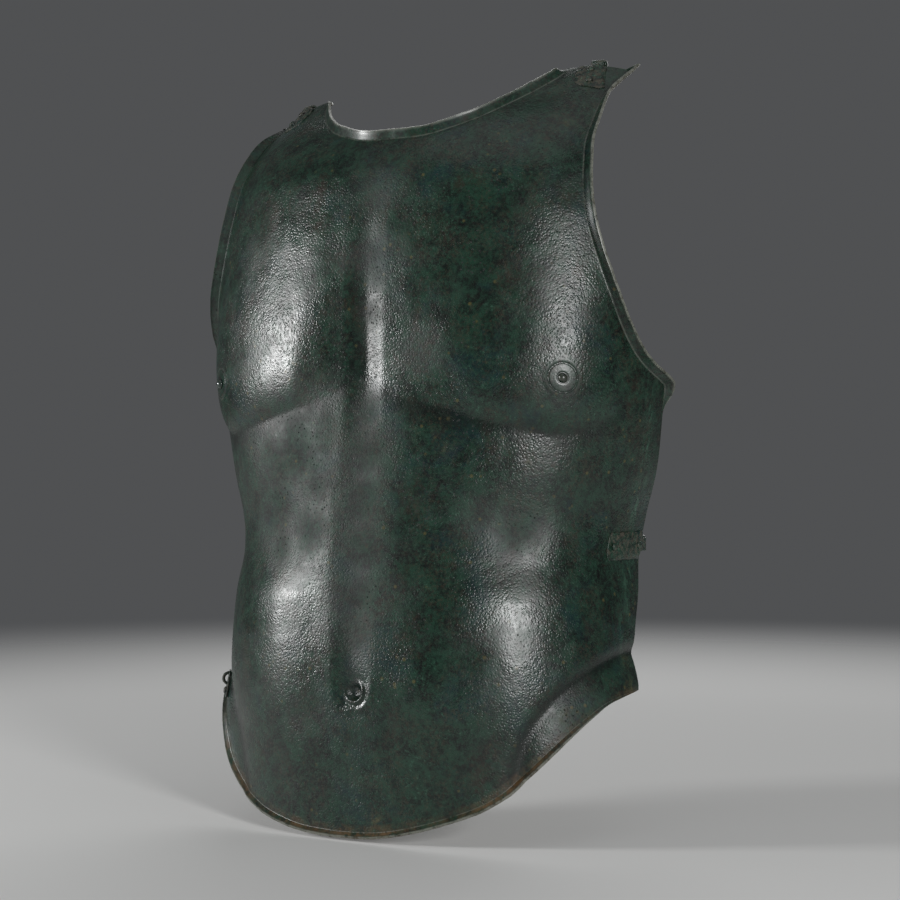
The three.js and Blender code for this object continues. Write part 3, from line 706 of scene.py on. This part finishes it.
def mark_plate(plate, angle, way, x, y, ring):
    """Where shade is painted into the hollows, where worn edges are lightened also as a painted highlight,
    and where the patina is rusty, dull or streaked, as marks on the points.
    """
    turned = np.abs(angle)
    side_across = GIRTH_RADIUS * np.radians(turned)
    crease_gap = (through(CREASE, 1, turned) - way) * MERIDIAN
    under = smooth(*UNDER_START, crease_gap) * (1 - smooth(*UNDER_END, crease_gap))
    under = under * smooth(*UNDER_SIDE, side_across) * (1 - smooth(*PECTORAL_SIDE, turned))
    groove = -groove_at(way, side_across) / GROOVE_DEPTH
    furrow = bump(-1, FURROW_WIDTH, hip_inside(way, side_across))
    # Painted shade: the darkest of the furrow, the band under the pectorals and the groove
    painted_shade = np.max((under * UNDER_PAINTED_SHADE, groove * GROOVE_PAINTED_SHADE, furrow), axis=0)
    measure(plate, "painted_shade", np.clip(painted_shade, 0, 1))
    rim_share = np.concatenate(([0], RING_SHARES))[ring]
    measure(plate, "rim", smooth(0, RIM_ROOT, rim_share))
    # Rim lip and root line: worn edges that are lightened also as a painted highlight, left off the far
    # side's edge
    lip = np.maximum(smooth(*LIP_WEAR_AND_HIGHLIGHT, rim_share), ROOT_WEAR_AND_HIGHLIGHT_SHARE * bump(*ROOT_WEAR_AND_HIGHLIGHT, rim_share))
    measure(plate, "lip", lip * (ring > 0) * (x > FAR_EDGE))
    lower = (y < -BORDER) | ((y < BELLY_EDGE) & (ring == 0))
    spots = sum(share * bump(middle, reach, angle) for middle, reach, share in RUST_SPOTS)
    spots = spots + RUST_LEVEL * (1 - smooth(*RUST_ANGLES, turned))
    measure(plate, "rust", lower * np.clip(spots, 0, 1) * bump(*RUST_BAND, rim_share))
    blooms = sum(share * bump(0, reach, distance_to(angle, way, *home)) for *home, reach, share in BLOOMS)
    measure(plate, "bloom", np.clip(blooms, 0, 1))
    dull = [share * bump(0, reach, distance_to(angle, way, *home)) for *home, reach, share in DULL_PLACES]
    dull.append(smooth(0, RIM_ROOT, rim_share) * (x < FAR_EDGE))
    measure(plate, "dull", np.max(dull, axis=0))
    low, low_full, high_full, high = STREAK_WAYS
    seam_gap = GIRTH_RADIUS * np.radians(90 - turned)
    streak = bump(STREAK_INSET, STREAK_WIDTH, seam_gap) * smooth(low, low_full, way)
    measure(plate, "streak", streak * (1 - smooth(high_full, high, way)))


# Pieces seated on the plate
class Seat:
    """Spot on the plate. Places are in millimetres along an edge and inwards from it."""

    def __init__(self, spot, edge_step, in_step):
        self.spot = np.array(spot, float)
        home = skin(*self.spot)
        self.edge_step = np.array(edge_step) / np.linalg.norm(skin(*(self.spot + edge_step)) - home)
        self.in_step = np.array(in_step) / np.linalg.norm(skin(*(self.spot + in_step)) - home)

    def places(self, edge, inwards):
        edge, inwards = np.asarray(edge, float), np.asarray(inwards, float)
        angle = self.spot[0] + edge * self.edge_step[0] + inwards * self.in_step[0]
        return angle, self.spot[1] + edge * self.edge_step[1] + inwards * self.in_step[1]

    def normals(self, edge, inwards):
        return normal_of(skin, *self.places(edge, inwards))

    def points(self, edge, inwards, lift):
        lift = np.asarray(lift, float)
        return skin(*self.places(edge, inwards)) + self.normals(edge, inwards) * lift[..., None]

    def marked_points(self, edge, inwards, lift):
        marks = hammered(self.points(edge, inwards, np.zeros(len(edge))), HAMMER_MARKS)
        return self.points(edge, inwards, lift + marks)


def turned_piece(name, profile, place, axis, sides=28):
    """Round piece drawn out level by level from a disc, in millimetres."""
    rest_hands()
    radius, height = profile[0]
    bpy.ops.mesh.primitive_circle_add(vertices=sides, radius=radius, fill_type="NGON", location=(0, 0, 0))
    piece = named(name)
    bpy.ops.object.mode_set(mode="EDIT")
    bpy.ops.mesh.select_mode(type="FACE")
    bpy.ops.mesh.select_all(action="SELECT")
    bpy.ops.transform.translate(value=(0, 0, height))
    for new_radius, new_height in profile[1:]:
        bpy.ops.mesh.extrude_region_move(TRANSFORM_OT_translate={"value": (0, 0, new_height - height)})
        bpy.ops.transform.resize(value=(new_radius / radius, new_radius / radius, 1))
        radius, height = new_radius, new_height
    bpy.ops.mesh.select_all(action="SELECT")
    bpy.ops.mesh.normals_make_consistent(inside=False)
    bpy.ops.object.mode_set(mode="OBJECT")
    turn = Vector((0, 0, 1)).rotation_difference(Vector(axis)).to_matrix().to_4x4()
    piece.data.transform(Matrix.Translation(Vector(place) * MM) @ turn @ Matrix.Scale(MM, 4))
    return piece


def dome(radius, height, base, steps=6):
    turns = [math.pi / 2 * step / steps for step in range(steps)] + [math.pi / 2 * 0.94]
    return [(radius * math.cos(turn), base + height * math.sin(turn)) for turn in turns]


def roughen(piece, height, length):
    points = points_of(piece) / MM
    normals = np.array([vertex.normal for vertex in piece.data.vertices])
    put_points(piece, (points + normals * hammered(points, ((height, length),))[:, None]) * MM)


def add_rivet(name, place, axis, grip, shank, head, head_height):
    spread = shank + RIVET_TAIL_SPREAD
    tail = RIVET_INNER - RIVET_TAIL_HEIGHT
    profile = [(spread * 0.7, tail), (spread, tail + RIVET_TAIL_HEIGHT / 2), (spread, RIVET_INNER),
               (shank, RIVET_INNER), (shank, grip), (head * 0.97, grip), (head, grip + HEAD_STEP)]
    profile += dome(head, head_height - RIVET_HEAD_SINK, grip + HEAD_EDGE)
    piece = turned_piece(name, profile, place, axis)
    roughen(piece, *HEAD_ROUGHNESS)
    soften(piece)
    return piece


def pattern_points(piece):
    return points_of(piece)[:, :2].T


def add_leaf(name, seat, width, length, shift, axis):
    """Sheet leaf whose tongue is rolled round the pin."""
    rest_hands()
    rows = int(length / LEAF_CELL)
    bpy.ops.mesh.primitive_grid_add(x_subdivisions=LEAF_COLUMNS, y_subdivisions=rows, size=1)
    piece = named(name)
    bpy.ops.object.mode_set(mode="EDIT")
    bpy.ops.transform.resize(value=(width, length - LEAF_EDGE_INSET, 1))
    bpy.ops.transform.translate(value=(0, (length + LEAF_EDGE_INSET) / 2, 0))
    bpy.ops.mesh.select_all(action="DESELECT")
    bpy.ops.object.mode_set(mode="OBJECT")
    half = KNUCKLE_LENGTH / 2
    for edge in piece.data.edges:
        ends = [piece.data.vertices[index].co for index in edge.vertices]
        outer = all(end.y < LEAF_EDGE_INSET + CLOSE for end in ends)
        edge.select = outer and all(abs(end.x + shift) < half + TONGUE_PLAY for end in ends)
    bpy.ops.object.mode_set(mode="EDIT")
    bpy.ops.mesh.select_mode(type="EDGE")
    flat_run = (KNUCKLE_REACH + LEAF_EDGE_INSET) / TONGUE_ROWS
    roll_run = KNUCKLE_RADIUS * math.radians(ROLL_TURN) / ROLL_ROWS
    for run in [flat_run] * TONGUE_ROWS + [roll_run] * ROLL_ROWS:
        bpy.ops.mesh.extrude_edges_move(TRANSFORM_OT_translate={"value": (0, -run, 0)})
    bpy.ops.object.mode_set(mode="OBJECT")
    edge, inwards = pattern_points(piece)
    tongue = inwards < LEAF_EDGE_INSET - CLOSE
    low, high = edge[tongue].min(), edge[tongue].max()
    edge = np.where(tongue, ((edge - low) / (high - low) * 2 - 1) * half, edge + shift)
    flat = np.column_stack((edge, inwards, edge * 0))
    wave = hammered(flat, ((LEAF_WAVE, LEAF_WAVE_LENGTH),), len(name))
    border = np.maximum(np.abs(edge - shift) * 2 / width, inwards / length)
    lift = SEAT_GAP + LEAF_THICKNESS + wave * 0.5 - LEAF_SINK * smooth(LEAF_SINK_START, 1, border) * ~tongue
    corner = smooth(*CORNER_SIDE, np.abs(edge - shift) * 2 / width) * smooth(*CORNER_END, inwards / length)
    inwards = inwards - np.where(tongue, 0, LEAF_CORNER * corner)
    wavy_edge = edge + np.where(tongue, 0, wave * (np.abs(edge - shift) > width / 2 - CLOSE))
    surface = seat.marked_points(wavy_edge, inwards + wave * (inwards > length - CLOSE), lift)
    centre = seat.points(0, -KNUCKLE_REACH, SEAT_GAP + LEAF_THICKNESS - KNUCKLE_RADIUS)
    normal = seat.normals(0, 0)
    normal = unit(normal - normal @ axis * axis)
    outward = unit(np.cross(axis, normal))
    outward = outward * np.sign(outward @ (centre - seat.points(0, 0, 0)))
    way_along = np.sign(axis @ (seat.points(1, 0, 0) - seat.points(0, 0, 0)))
    roll = np.maximum(-KNUCKLE_REACH - inwards, 0) / KNUCKLE_RADIUS
    lead = np.minimum(-KNUCKLE_REACH - inwards, 0)
    rolled = centre + np.outer(way_along * edge, axis) + np.outer(lead, outward)
    rolled = rolled + KNUCKLE_RADIUS * (np.outer(np.cos(roll), normal) + np.outer(np.sin(roll), outward))
    share = smooth(LEAF_EDGE_INSET, ROLL_BLEND - KNUCKLE_REACH, inwards)[:, None]
    put_points(piece, (surface * (1 - share) + rolled * share) * MM)
    finish_with(piece, "SOLIDIFY", thickness=(KNUCKLE_RADIUS - PIN_RADIUS - PIN_PLAY) * MM, offset=-1)
    ease_edges(piece, LEAF_BEVEL, 50)
    soften(piece, 50)
    return piece, centre


def add_pin(name, centre, axis):
    half = KNUCKLE_LENGTH / 2
    top = half + HEAD_GAP
    tail = PIN_TAIL_INSET - half
    profile = [(PIN_RADIUS * 0.8, tail), (PIN_RADIUS, tail + PIN_TIP), (PIN_RADIUS, top),
               (PIN_HEAD_RADIUS * 0.95, top), (PIN_HEAD_RADIUS, top + HEAD_STEP)]
    profile += dome(PIN_HEAD_RADIUS, PIN_HEAD_HEIGHT - HEAD_EDGE, top + HEAD_EDGE)
    piece = turned_piece(name, profile, centre, axis)
    soften(piece)
    return piece


def add_hinge(name, body, seat, width, length, shift, axis):
    leaf, centre = add_leaf(f"{name}_hinge_leaf", seat, width, length, shift, axis)
    cad_name = f"{name.split('_')[0]}_hinge_{name.split('_')[1]}"
    dress(leaf, corroded, "plate", f"{cad_name}_leaf")
    dress(add_pin(f"{name}_hinge_pin", centre, axis), worn, body, f"{cad_name}_pin")
    for number, inwards in enumerate((RIVET_INSET, length - RIVET_INSET)):
        grip = SEAT_GAP + LEAF_THICKNESS + HEAD_GAP
        place, normal = seat.points(shift, inwards, 0), seat.normals(shift, inwards)
        rivet = add_rivet(f"{name}_rivet_{number + 1}", place, normal, grip,
                          RIVET_RADIUS, RIVET_HEAD_RADIUS, RIVET_HEAD_HEIGHT)
        dress(rivet, corroded, "plate", f"{cad_name}_rivet_{number + 1}")


def add_shoulder_hinge(side, name):
    across = NECK_END + (1 - NECK_END) * SHOULDER_LEAF_SHARE
    spot = np.array(place_at(side, across, 1))
    ahead = np.array(place_at(side, across - side * SMALL_WAY, 1))
    seat = Seat(spot, ahead - spot, (0, -SMALL_WAY))
    axis = seat.points(-side * SMALL_STEP, 0, 0) - seat.points(0, 0, 0)
    axis[2] = 0
    body = f"shoulder_{name}_pin"
    shift = side * SHOULDER_LEAF_SHIFT
    add_hinge(f"shoulder_{name}", body, seat, SHOULDER_LEAF_WIDTH, SHOULDER_LEAF_LENGTH, shift, unit(axis))


def add_side_hinge(side, name):
    seat = Seat((side * 90, SIDE_LEAF_WAY), (0, side * SMALL_WAY), (-side * SMALL_TURN, 0))
    upright = np.array((0, 0, 1.0))
    add_hinge(f"side_{name}", f"side_{name}_pin", seat, SIDE_LEAF_WIDTH, SIDE_LEAF_LENGTH, 0, upright)


def areola_height(radius):
    """Height of the nipple's disc over the plate, by distance from its middle."""
    skirt = smooth(AREOLA_RADIUS, AREOLA_RADIUS + AREOLA_SKIRT, radius)
    edge = (AREOLA_RISE + AREOLA_EDGE) * (1 - skirt) - AREOLA_EDGE
    ring = AREOLA_RING_DEPTH * bump(AREOLA_RADIUS, AREOLA_RING_WIDTH, radius)
    well = AREOLA_WELL_DEPTH * bump(STUD_HEAD_RADIUS + 0.25, 0.6, radius)
    return edge - ring - well


def add_nipple(side, name):
    seat = Seat((side * NIPPLE_ANGLE, NIPPLE_WAY), (SMALL_TURN, 0), (0, SMALL_WAY))
    rest_hands()
    radii = AREOLA_RADIUS + np.array(AREOLA_RINGS)
    bpy.ops.mesh.primitive_circle_add(vertices=56, radius=radii[0], fill_type="NGON")
    piece = named(f"nipple_disc_{name}")
    bpy.ops.object.mode_set(mode="EDIT")
    bpy.ops.mesh.select_mode(type="FACE")
    bpy.ops.mesh.select_all(action="SELECT")
    for old, new in zip(radii[:-1], radii[1:]):
        bpy.ops.mesh.extrude_region_move()
        bpy.ops.transform.resize(value=(new / old, new / old, 1))
    bpy.ops.mesh.poke()
    bpy.ops.mesh.select_all(action="DESELECT")
    bpy.ops.object.mode_set(mode="OBJECT")
    flat = points_of(piece)
    lonely = [face for face in piece.data.polygons if len(face.vertices) > 4]
    for face in lonely:
        face.select = True
    bpy.ops.object.mode_set(mode="EDIT")
    bpy.ops.mesh.delete(type="ONLY_FACE")
    bpy.ops.object.mode_set(mode="OBJECT")
    radius = np.hypot(flat[:, 0], flat[:, 1])
    put_points(piece, seat.marked_points(flat[:, 0], flat[:, 1], areola_height(radius)) * MM)
    measure(piece, "rim", 0.9 * (1 - smooth(AREOLA_RADIUS + 1, AREOLA_RADIUS + 3.6, radius)))
    measure(piece, "dull", bump(AREOLA_RADIUS + 0.5, 1, radius))
    # Painted shade in the disc's ring groove and in the well round the stud
    well = bump(STUD_HEAD_RADIUS + 0.3, 0.5, radius)
    measure(piece, "painted_shade", bump(AREOLA_RADIUS, AREOLA_RING_WIDTH, radius) + well)
    finish_with(piece, "SOLIDIFY", thickness=AREOLA_THICKNESS * MM, offset=-1)
    soften(piece, 60)
    dress(piece, patina, "plate", f"areola_{name}")
    grip = AREOLA_RISE - AREOLA_WELL_DEPTH
    stud = add_rivet(f"nipple_stud_{name}_round", seat.points(0, 0, 0), seat.normals(0, 0), grip,
                     STUD_RADIUS, STUD_HEAD_RADIUS, STUD_HEAD_HEIGHT)
    dress(stud, worn, "plate", f"nipple_stud_{name}")


def add_hip_lug():
    seat = Seat((-LUG_ANGLE, LUG_WAY), (SMALL_TURN, 0), (0, SMALL_WAY))
    rest_hands()
    bpy.ops.mesh.primitive_grid_add(x_subdivisions=6, y_subdivisions=14, size=1)
    strap = named("hip_lug_strap")
    edge, up = pattern_points(strap)
    taper = 1 - LUG_TAPER * np.abs(up * 2) ** 3
    edge, up = edge * LUG_WIDTH * taper, up * LUG_HEIGHT
    put_points(strap, seat.marked_points(edge, up, np.full(len(up), SEAT_GAP + LUG_THICKNESS)) * MM)
    finish_with(strap, "SOLIDIFY", thickness=LUG_THICKNESS * MM, offset=-1)
    ease_edges(strap, STRAP_BEVEL, 50)
    rest_hands()
    bpy.ops.mesh.primitive_torus_add(major_radius=LUG_LOOP_RADIUS, minor_radius=LUG_LOOP_WIRE,
                                     major_segments=40, minor_segments=12)
    loop = named("hip_lug_loop")
    height = LUG_HEIGHT / 2 - LUG_LOOP_INSET
    place = seat.points(0, height, SEAT_GAP + LUG_THICKNESS / 2)
    axis = seat.normals(0, height)
    upright = unit(seat.points(0, LUG_HEIGHT / 2, 0) - seat.points(0, -LUG_HEIGHT / 2, 0))
    across = unit(np.cross(axis, upright))
    basis = Matrix(np.column_stack((axis, np.cross(axis, across), -across)).tolist()).to_4x4()
    loop.data.transform(Matrix.Translation(Vector(place) * MM) @ basis @ Matrix.Scale(MM, 4))
    roughen(loop, *LOOP_ROUGHNESS)
    bpy.ops.object.select_all(action="DESELECT")
    loop.select_set(True)
    strap.select_set(True)
    bpy.context.view_layer.objects.active = strap
    bpy.ops.object.join()
    soften(strap, 50)
    dress(strap, corroded, "plate", "hip_lug_right")
    low = LUG_RIVET_INSET - LUG_HEIGHT / 2
    grip = SEAT_GAP + LUG_THICKNESS + HEAD_GAP
    rivet = add_rivet("hip_lug_rivet_round", seat.points(0, low, 0), seat.normals(0, low), grip,
                      RIVET_RADIUS, RIVET_HEAD_RADIUS, RIVET_HEAD_HEIGHT)
    dress(rivet, corroded, "plate", "hip_lug_rivet")


def dress(piece, material, body, node):
    wear(piece, material)
    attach(piece, body)
    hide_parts(node)


# Shader helpers
class Value:
    """Something that varies over a surface. Python's operators add its Math nodes."""

    def __init__(self, finish, socket):
        self.finish = finish
        self.socket = socket

    def combine(self, operation, first, second):
        return self.finish.node("ShaderNodeMath", {"operation": operation}, {0: first, 1: second})

    def __add__(self, other):
        return self.combine("ADD", self, other)

    def __sub__(self, other):
        return self.combine("SUBTRACT", self, other)

    def __rsub__(self, other):
        return self.combine("SUBTRACT", other, self)

    def __mul__(self, other):
        return self.combine("MULTIPLY", self, other)

    __radd__ = __add__
    __rmul__ = __mul__


class Finish:
    """A material under construction."""

    def __init__(self, name):
        self.material = bpy.data.materials.new(name)
        self.material.use_nodes = True
        self.tree = self.material.node_tree
        self.tree.nodes.clear()
        self.place = self.node("ShaderNodeTexCoord", output="Object")

    def node(self, kind, settings=None, inputs=None, output=0):
        node = self.tree.nodes.new(kind)
        for name, value in (settings or {}).items():
            setattr(node, name, value)
        for name, value in (inputs or {}).items():
            if isinstance(value, Value):
                self.tree.links.new(value.socket, node.inputs[name])
            else:
                node.inputs[name].default_value = value
        return Value(self, node.outputs[output])

    def between(self, value, low, high):
        settings = {"interpolation_type": "SMOOTHSTEP"}
        return self.node("ShaderNodeMapRange", settings, {0: value, 1: low, 2: high})

    def grain(self, size, detail=3, roughness=0.55, warp=0, place=None):
        """Noise whose marks are about so many millimetres apart."""
        inputs = {"Vector": place or self.place, "Scale": 1 / (size * MM), "Detail": detail,
                  "Roughness": roughness, "Distortion": warp}
        return self.node("ShaderNodeTexNoise", None, inputs, "Fac")

    def cells(self, size):
        inputs = {"Vector": self.place, "Scale": 1 / (size * MM)}
        return self.node("ShaderNodeTexVoronoi", None, inputs, "Distance")

    def stretched(self, x, y, z):
        return self.node("ShaderNodeMapping", None, {"Vector": self.place, "Scale": (x, y, z)}, "Vector")

    def mark(self, name):
        return self.node("ShaderNodeAttribute", {"attribute_name": name}, None, "Fac")

    def tint(self, share, first, second):
        inputs = {0: share, 6: first, 7: second}
        return self.node("ShaderNodeMix", {"data_type": "RGBA"}, inputs, 2)

    def relief(self, height, strength, depth, under=None):
        inputs = {"Height": height, "Strength": strength, "Distance": depth * MM}
        if under:
            inputs["Normal"] = under
        return self.node("ShaderNodeBump", None, inputs, "Normal")

    def surface(self, **inputs):
        named_inputs = {name.replace("_", " "): value for name, value in inputs.items()}
        shader = self.node("ShaderNodeBsdfPrincipled", None, named_inputs)
        self.node_output(shader)
        return self.material

    def node_output(self, shader):
        output = self.tree.nodes.new("ShaderNodeOutputMaterial")
        self.tree.links.new(shader.socket, output.inputs["Surface"])


def colour(red, green, blue):
    return (red, green, blue, 1)


BLACK_BRONZE = colour(0.0014, 0.0028, 0.002)
BROWN_BRONZE = colour(0.022, 0.016, 0.01)
DARK_GREEN = colour(0.002, 0.008, 0.0055)
GREEN = colour(0.0135, 0.049, 0.029)
BLUE_GREEN = colour(0.004, 0.026, 0.03)
PALE_GREEN = colour(0.05, 0.13, 0.085)
OCHRE = colour(0.1, 0.085, 0.028)
RUST = colour(0.12, 0.06, 0.016)
CRUST = colour(0.085, 0.072, 0.05)
EARTH = colour(0.045, 0.036, 0.022)
# Pale worn bronze, which also stands in as a painted highlight along the rims
WORN_AND_HIGHLIT_EDGE = colour(0.26, 0.27, 0.23)


def patina_colour(finish):
    large = finish.between(finish.grain(60, 6, 0.7, 0.6), 0.36, 0.64)
    middle = finish.between(finish.grain(12, 8, 0.8, 0.3), 0.42, 0.62)
    fine = finish.between(finish.grain(2.6, 4, 0.7), 0.44, 0.66)
    base = finish.tint(large, BLACK_BRONZE, DARK_GREEN)
    base = finish.tint(middle * 0.8, base, GREEN)
    blue = finish.between(finish.grain(36, 6, 0.7, 0.3), 0.5, 0.68)
    base = finish.tint(blue * 0.65, base, BLUE_GREEN)
    brown = finish.between(finish.grain(26, 7, 0.75, 0.4, finish.stretched(1.3, 1.1, 0.7)), 0.52, 0.7)
    base = finish.tint(brown * 0.85, base, BROWN_BRONZE)
    base = finish.tint(fine * 0.6, base, GREEN)
    return base


def patina_finish():
    finish = Finish("patina_bronze")
    base = patina_colour(finish)
    specks = finish.between(finish.cells(8), 0.2, 0.08) * finish.between(finish.grain(26, 3), 0.52, 0.6)
    base = finish.tint(specks * 0.7, base, OCHRE)
    flecks = finish.between(finish.grain(2, 4, 0.8), 0.54, 0.66)
    flecks = flecks * finish.between(finish.grain(30, 5, 0.7), 0.4, 0.6)
    base = finish.tint(flecks * 0.5, base, PALE_GREEN)
    dust = finish.between(finish.grain(2.2, 5, 0.8), 0.48, 0.6)
    dust = dust * finish.between(finish.grain(22, 6, 0.75), 0.42, 0.58)
    base = finish.tint(dust * 0.5, base, EARTH)
    streak_grain = finish.grain(9, 6, 0.75, 0.3, finish.stretched(1.6, 1.6, 0.45))
    streak = finish.mark("streak") * finish.between(streak_grain, 0.46, 0.64)
    base = finish.tint(streak * 0.75, base, PALE_GREEN)
    # Painted shade: hollows under the pectorals, in the groove, in the hip's furrow and in the nipples' rings
    # are tinted towards black bronze
    base = finish.tint(finish.mark("painted_shade") * 0.75, base, BLACK_BRONZE)
    inside = finish.mark("inside")
    base = finish.tint(inside * 0.75, base, CRUST)
    bloom = finish.mark("bloom") * finish.between(finish.grain(3, 6, 0.75), 0.42, 0.6)
    base = finish.tint(bloom * 0.7, base, OCHRE)
    rust = finish.mark("rust") * finish.between(finish.grain(7, 6, 0.75), 0.36, 0.6)
    base = finish.tint(rust * 0.9, base, RUST)
    # Rim edges lightened towards pale bronze: partly wear, partly a painted highlight along the lip and the
    # rim's root
    worn_and_highlit_edge = finish.mark("lip") * finish.between(finish.grain(5, 6, 0.75), 0.32, 0.56)
    base = finish.tint(worn_and_highlit_edge * 0.65, base, WORN_AND_HIGHLIT_EDGE)
    peel = finish.between(finish.cells(1.6), 0.05, 0.6)
    sand = finish.grain(1, 3, 0.65)
    holes = finish.between(finish.cells(3), 0.26, 0.12) * finish.between(finish.grain(24, 4), 0.46, 0.6)
    base = finish.tint(holes * 0.8, base, BLACK_BRONZE)
    swells = finish.grain(8, 4, 0.55)
    gloss = finish.between(finish.grain(20, 6, 0.7), 0.36, 0.64)
    rough_places = finish.between(finish.grain(34, 5, 0.65), 0.4, 0.62)
    smoothness = (0.4 + 0.6 * rough_places) * (1 - 0.85 * finish.mark("rim"))
    dull = finish.mark("dull") * finish.between(finish.grain(16, 5, 0.7), 0.12, 0.42)
    roughness = 0.27 + 0.1 * gloss + 0.3 * holes + 0.25 * rust
    roughness = roughness + 0.2 * bloom + 0.15 * inside + 0.42 * dull
    fine_relief = finish.relief((peel + 0.9 * sand - 0.8 * holes) * smoothness, 0.8, 0.15)
    relief = finish.relief(swells * smoothness, 0.28, 0.4, fine_relief)
    return finish.surface(Base_Color=base, Metallic=0, Roughness=roughness, IOR=1.6, Normal=relief)


def corroded_finish():
    finish = Finish("corroded_bronze")
    base = patina_colour(finish)
    crust = finish.between(finish.grain(3.2, 5, 0.7), 0.45, 0.6)
    base = finish.tint(crust * 0.65, base, CRUST)
    bloom = finish.between(finish.grain(2.6, 4, 0.7), 0.55, 0.68)
    base = finish.tint(bloom * 0.6, base, PALE_GREEN)
    lumps = finish.grain(3, 4, 0.6)
    roughness = 0.36 + 0.35 * crust
    relief = finish.relief(lumps, 0.8, 0.8)
    return finish.surface(Base_Color=base, Metallic=0, Roughness=roughness, IOR=1.65, Normal=relief)


def worn_finish():
    finish = Finish("worn_bronze")
    base = patina_colour(finish)
    rubbed = finish.between(finish.grain(2.6, 4, 0.6), 0.42, 0.6)
    base = finish.tint(rubbed * 0.5, base, EARTH)
    relief = finish.relief(finish.grain(0.9, 3, 0.6), 0.3, 0.25)
    return finish.surface(Base_Color=base, Metallic=0, Roughness=0.22 + 0.15 * rubbed, IOR=1.8, Normal=relief)


def wear(piece, material):
    piece.data.materials.clear()
    piece.data.materials.append(material)


# Studio
def add_camera():
    bpy.ops.object.camera_add(location=CAMERA_PLACE, rotation=(math.pi / 2, 0, math.radians(CAMERA_TURN)))
    camera = bpy.context.object
    camera.data.lens = CAMERA_LENS
    camera.data.sensor_width = CAMERA_SENSOR
    camera.data.clip_start = 0.05
    bpy.context.scene.camera = camera


def add_lamp(name, azimuth, elevation, distance, width, height, power):
    turn, rise = math.radians(azimuth), math.radians(elevation)
    away = Vector((math.sin(turn) * math.cos(rise), -math.cos(turn) * math.cos(rise), math.sin(rise)))
    bpy.ops.object.light_add(type="AREA", location=Vector(LAMP_TARGET) + away * distance)
    lamp = bpy.context.object
    lamp.name = name
    lamp.rotation_euler = away.to_track_quat("Z", "Y").to_euler()
    lamp.data.shape = "RECTANGLE"
    lamp.data.size = width
    lamp.data.size_y = height
    lamp.data.energy = power


def floor_finish():
    finish = Finish("pale_floor")
    away = finish.node("ShaderNodeVectorMath", {"operation": "LENGTH"}, {0: finish.place}, "Value")
    fade = finish.between(away, *FLOOR_FADE)
    paint = finish.node("ShaderNodeBsdfDiffuse", None, {"Color": FLOOR})
    clear = finish.node("ShaderNodeBsdfTransparent")
    finish.node_output(finish.node("ShaderNodeMixShader", None, {0: fade, 1: paint, 2: clear}))
    return finish.material


def add_studio():
    rest_hands()
    bpy.ops.mesh.primitive_circle_add(vertices=96, radius=FLOOR_RADIUS, fill_type="NGON",
                                      location=(0, 0, -FLOOR_DROP))
    floor = named("floor")
    bpy.ops.object.transform_apply(location=True, rotation=True, scale=True)
    wear(floor, floor_finish())
    for name, settings in LAMPS.items():
        add_lamp(name, *settings)
    world = bpy.data.worlds.new("pale_room")
    world.use_nodes = True
    world.node_tree.nodes["Background"].inputs["Color"].default_value = ROOM
    bpy.context.scene.world = world
    bpy.context.scene.view_settings.view_transform = "Standard"


add_camera()
add_studio()
patina = patina_finish()
corroded = corroded_finish()
worn = worn_finish()
dress(add_plate(), patina, "plate", "breastplate")
for side, side_name in ((1, "left"), (-1, "right")):
    add_nipple(side, side_name)
    add_shoulder_hinge(side, side_name)
    add_side_hinge(side, side_name)
add_hip_lug()
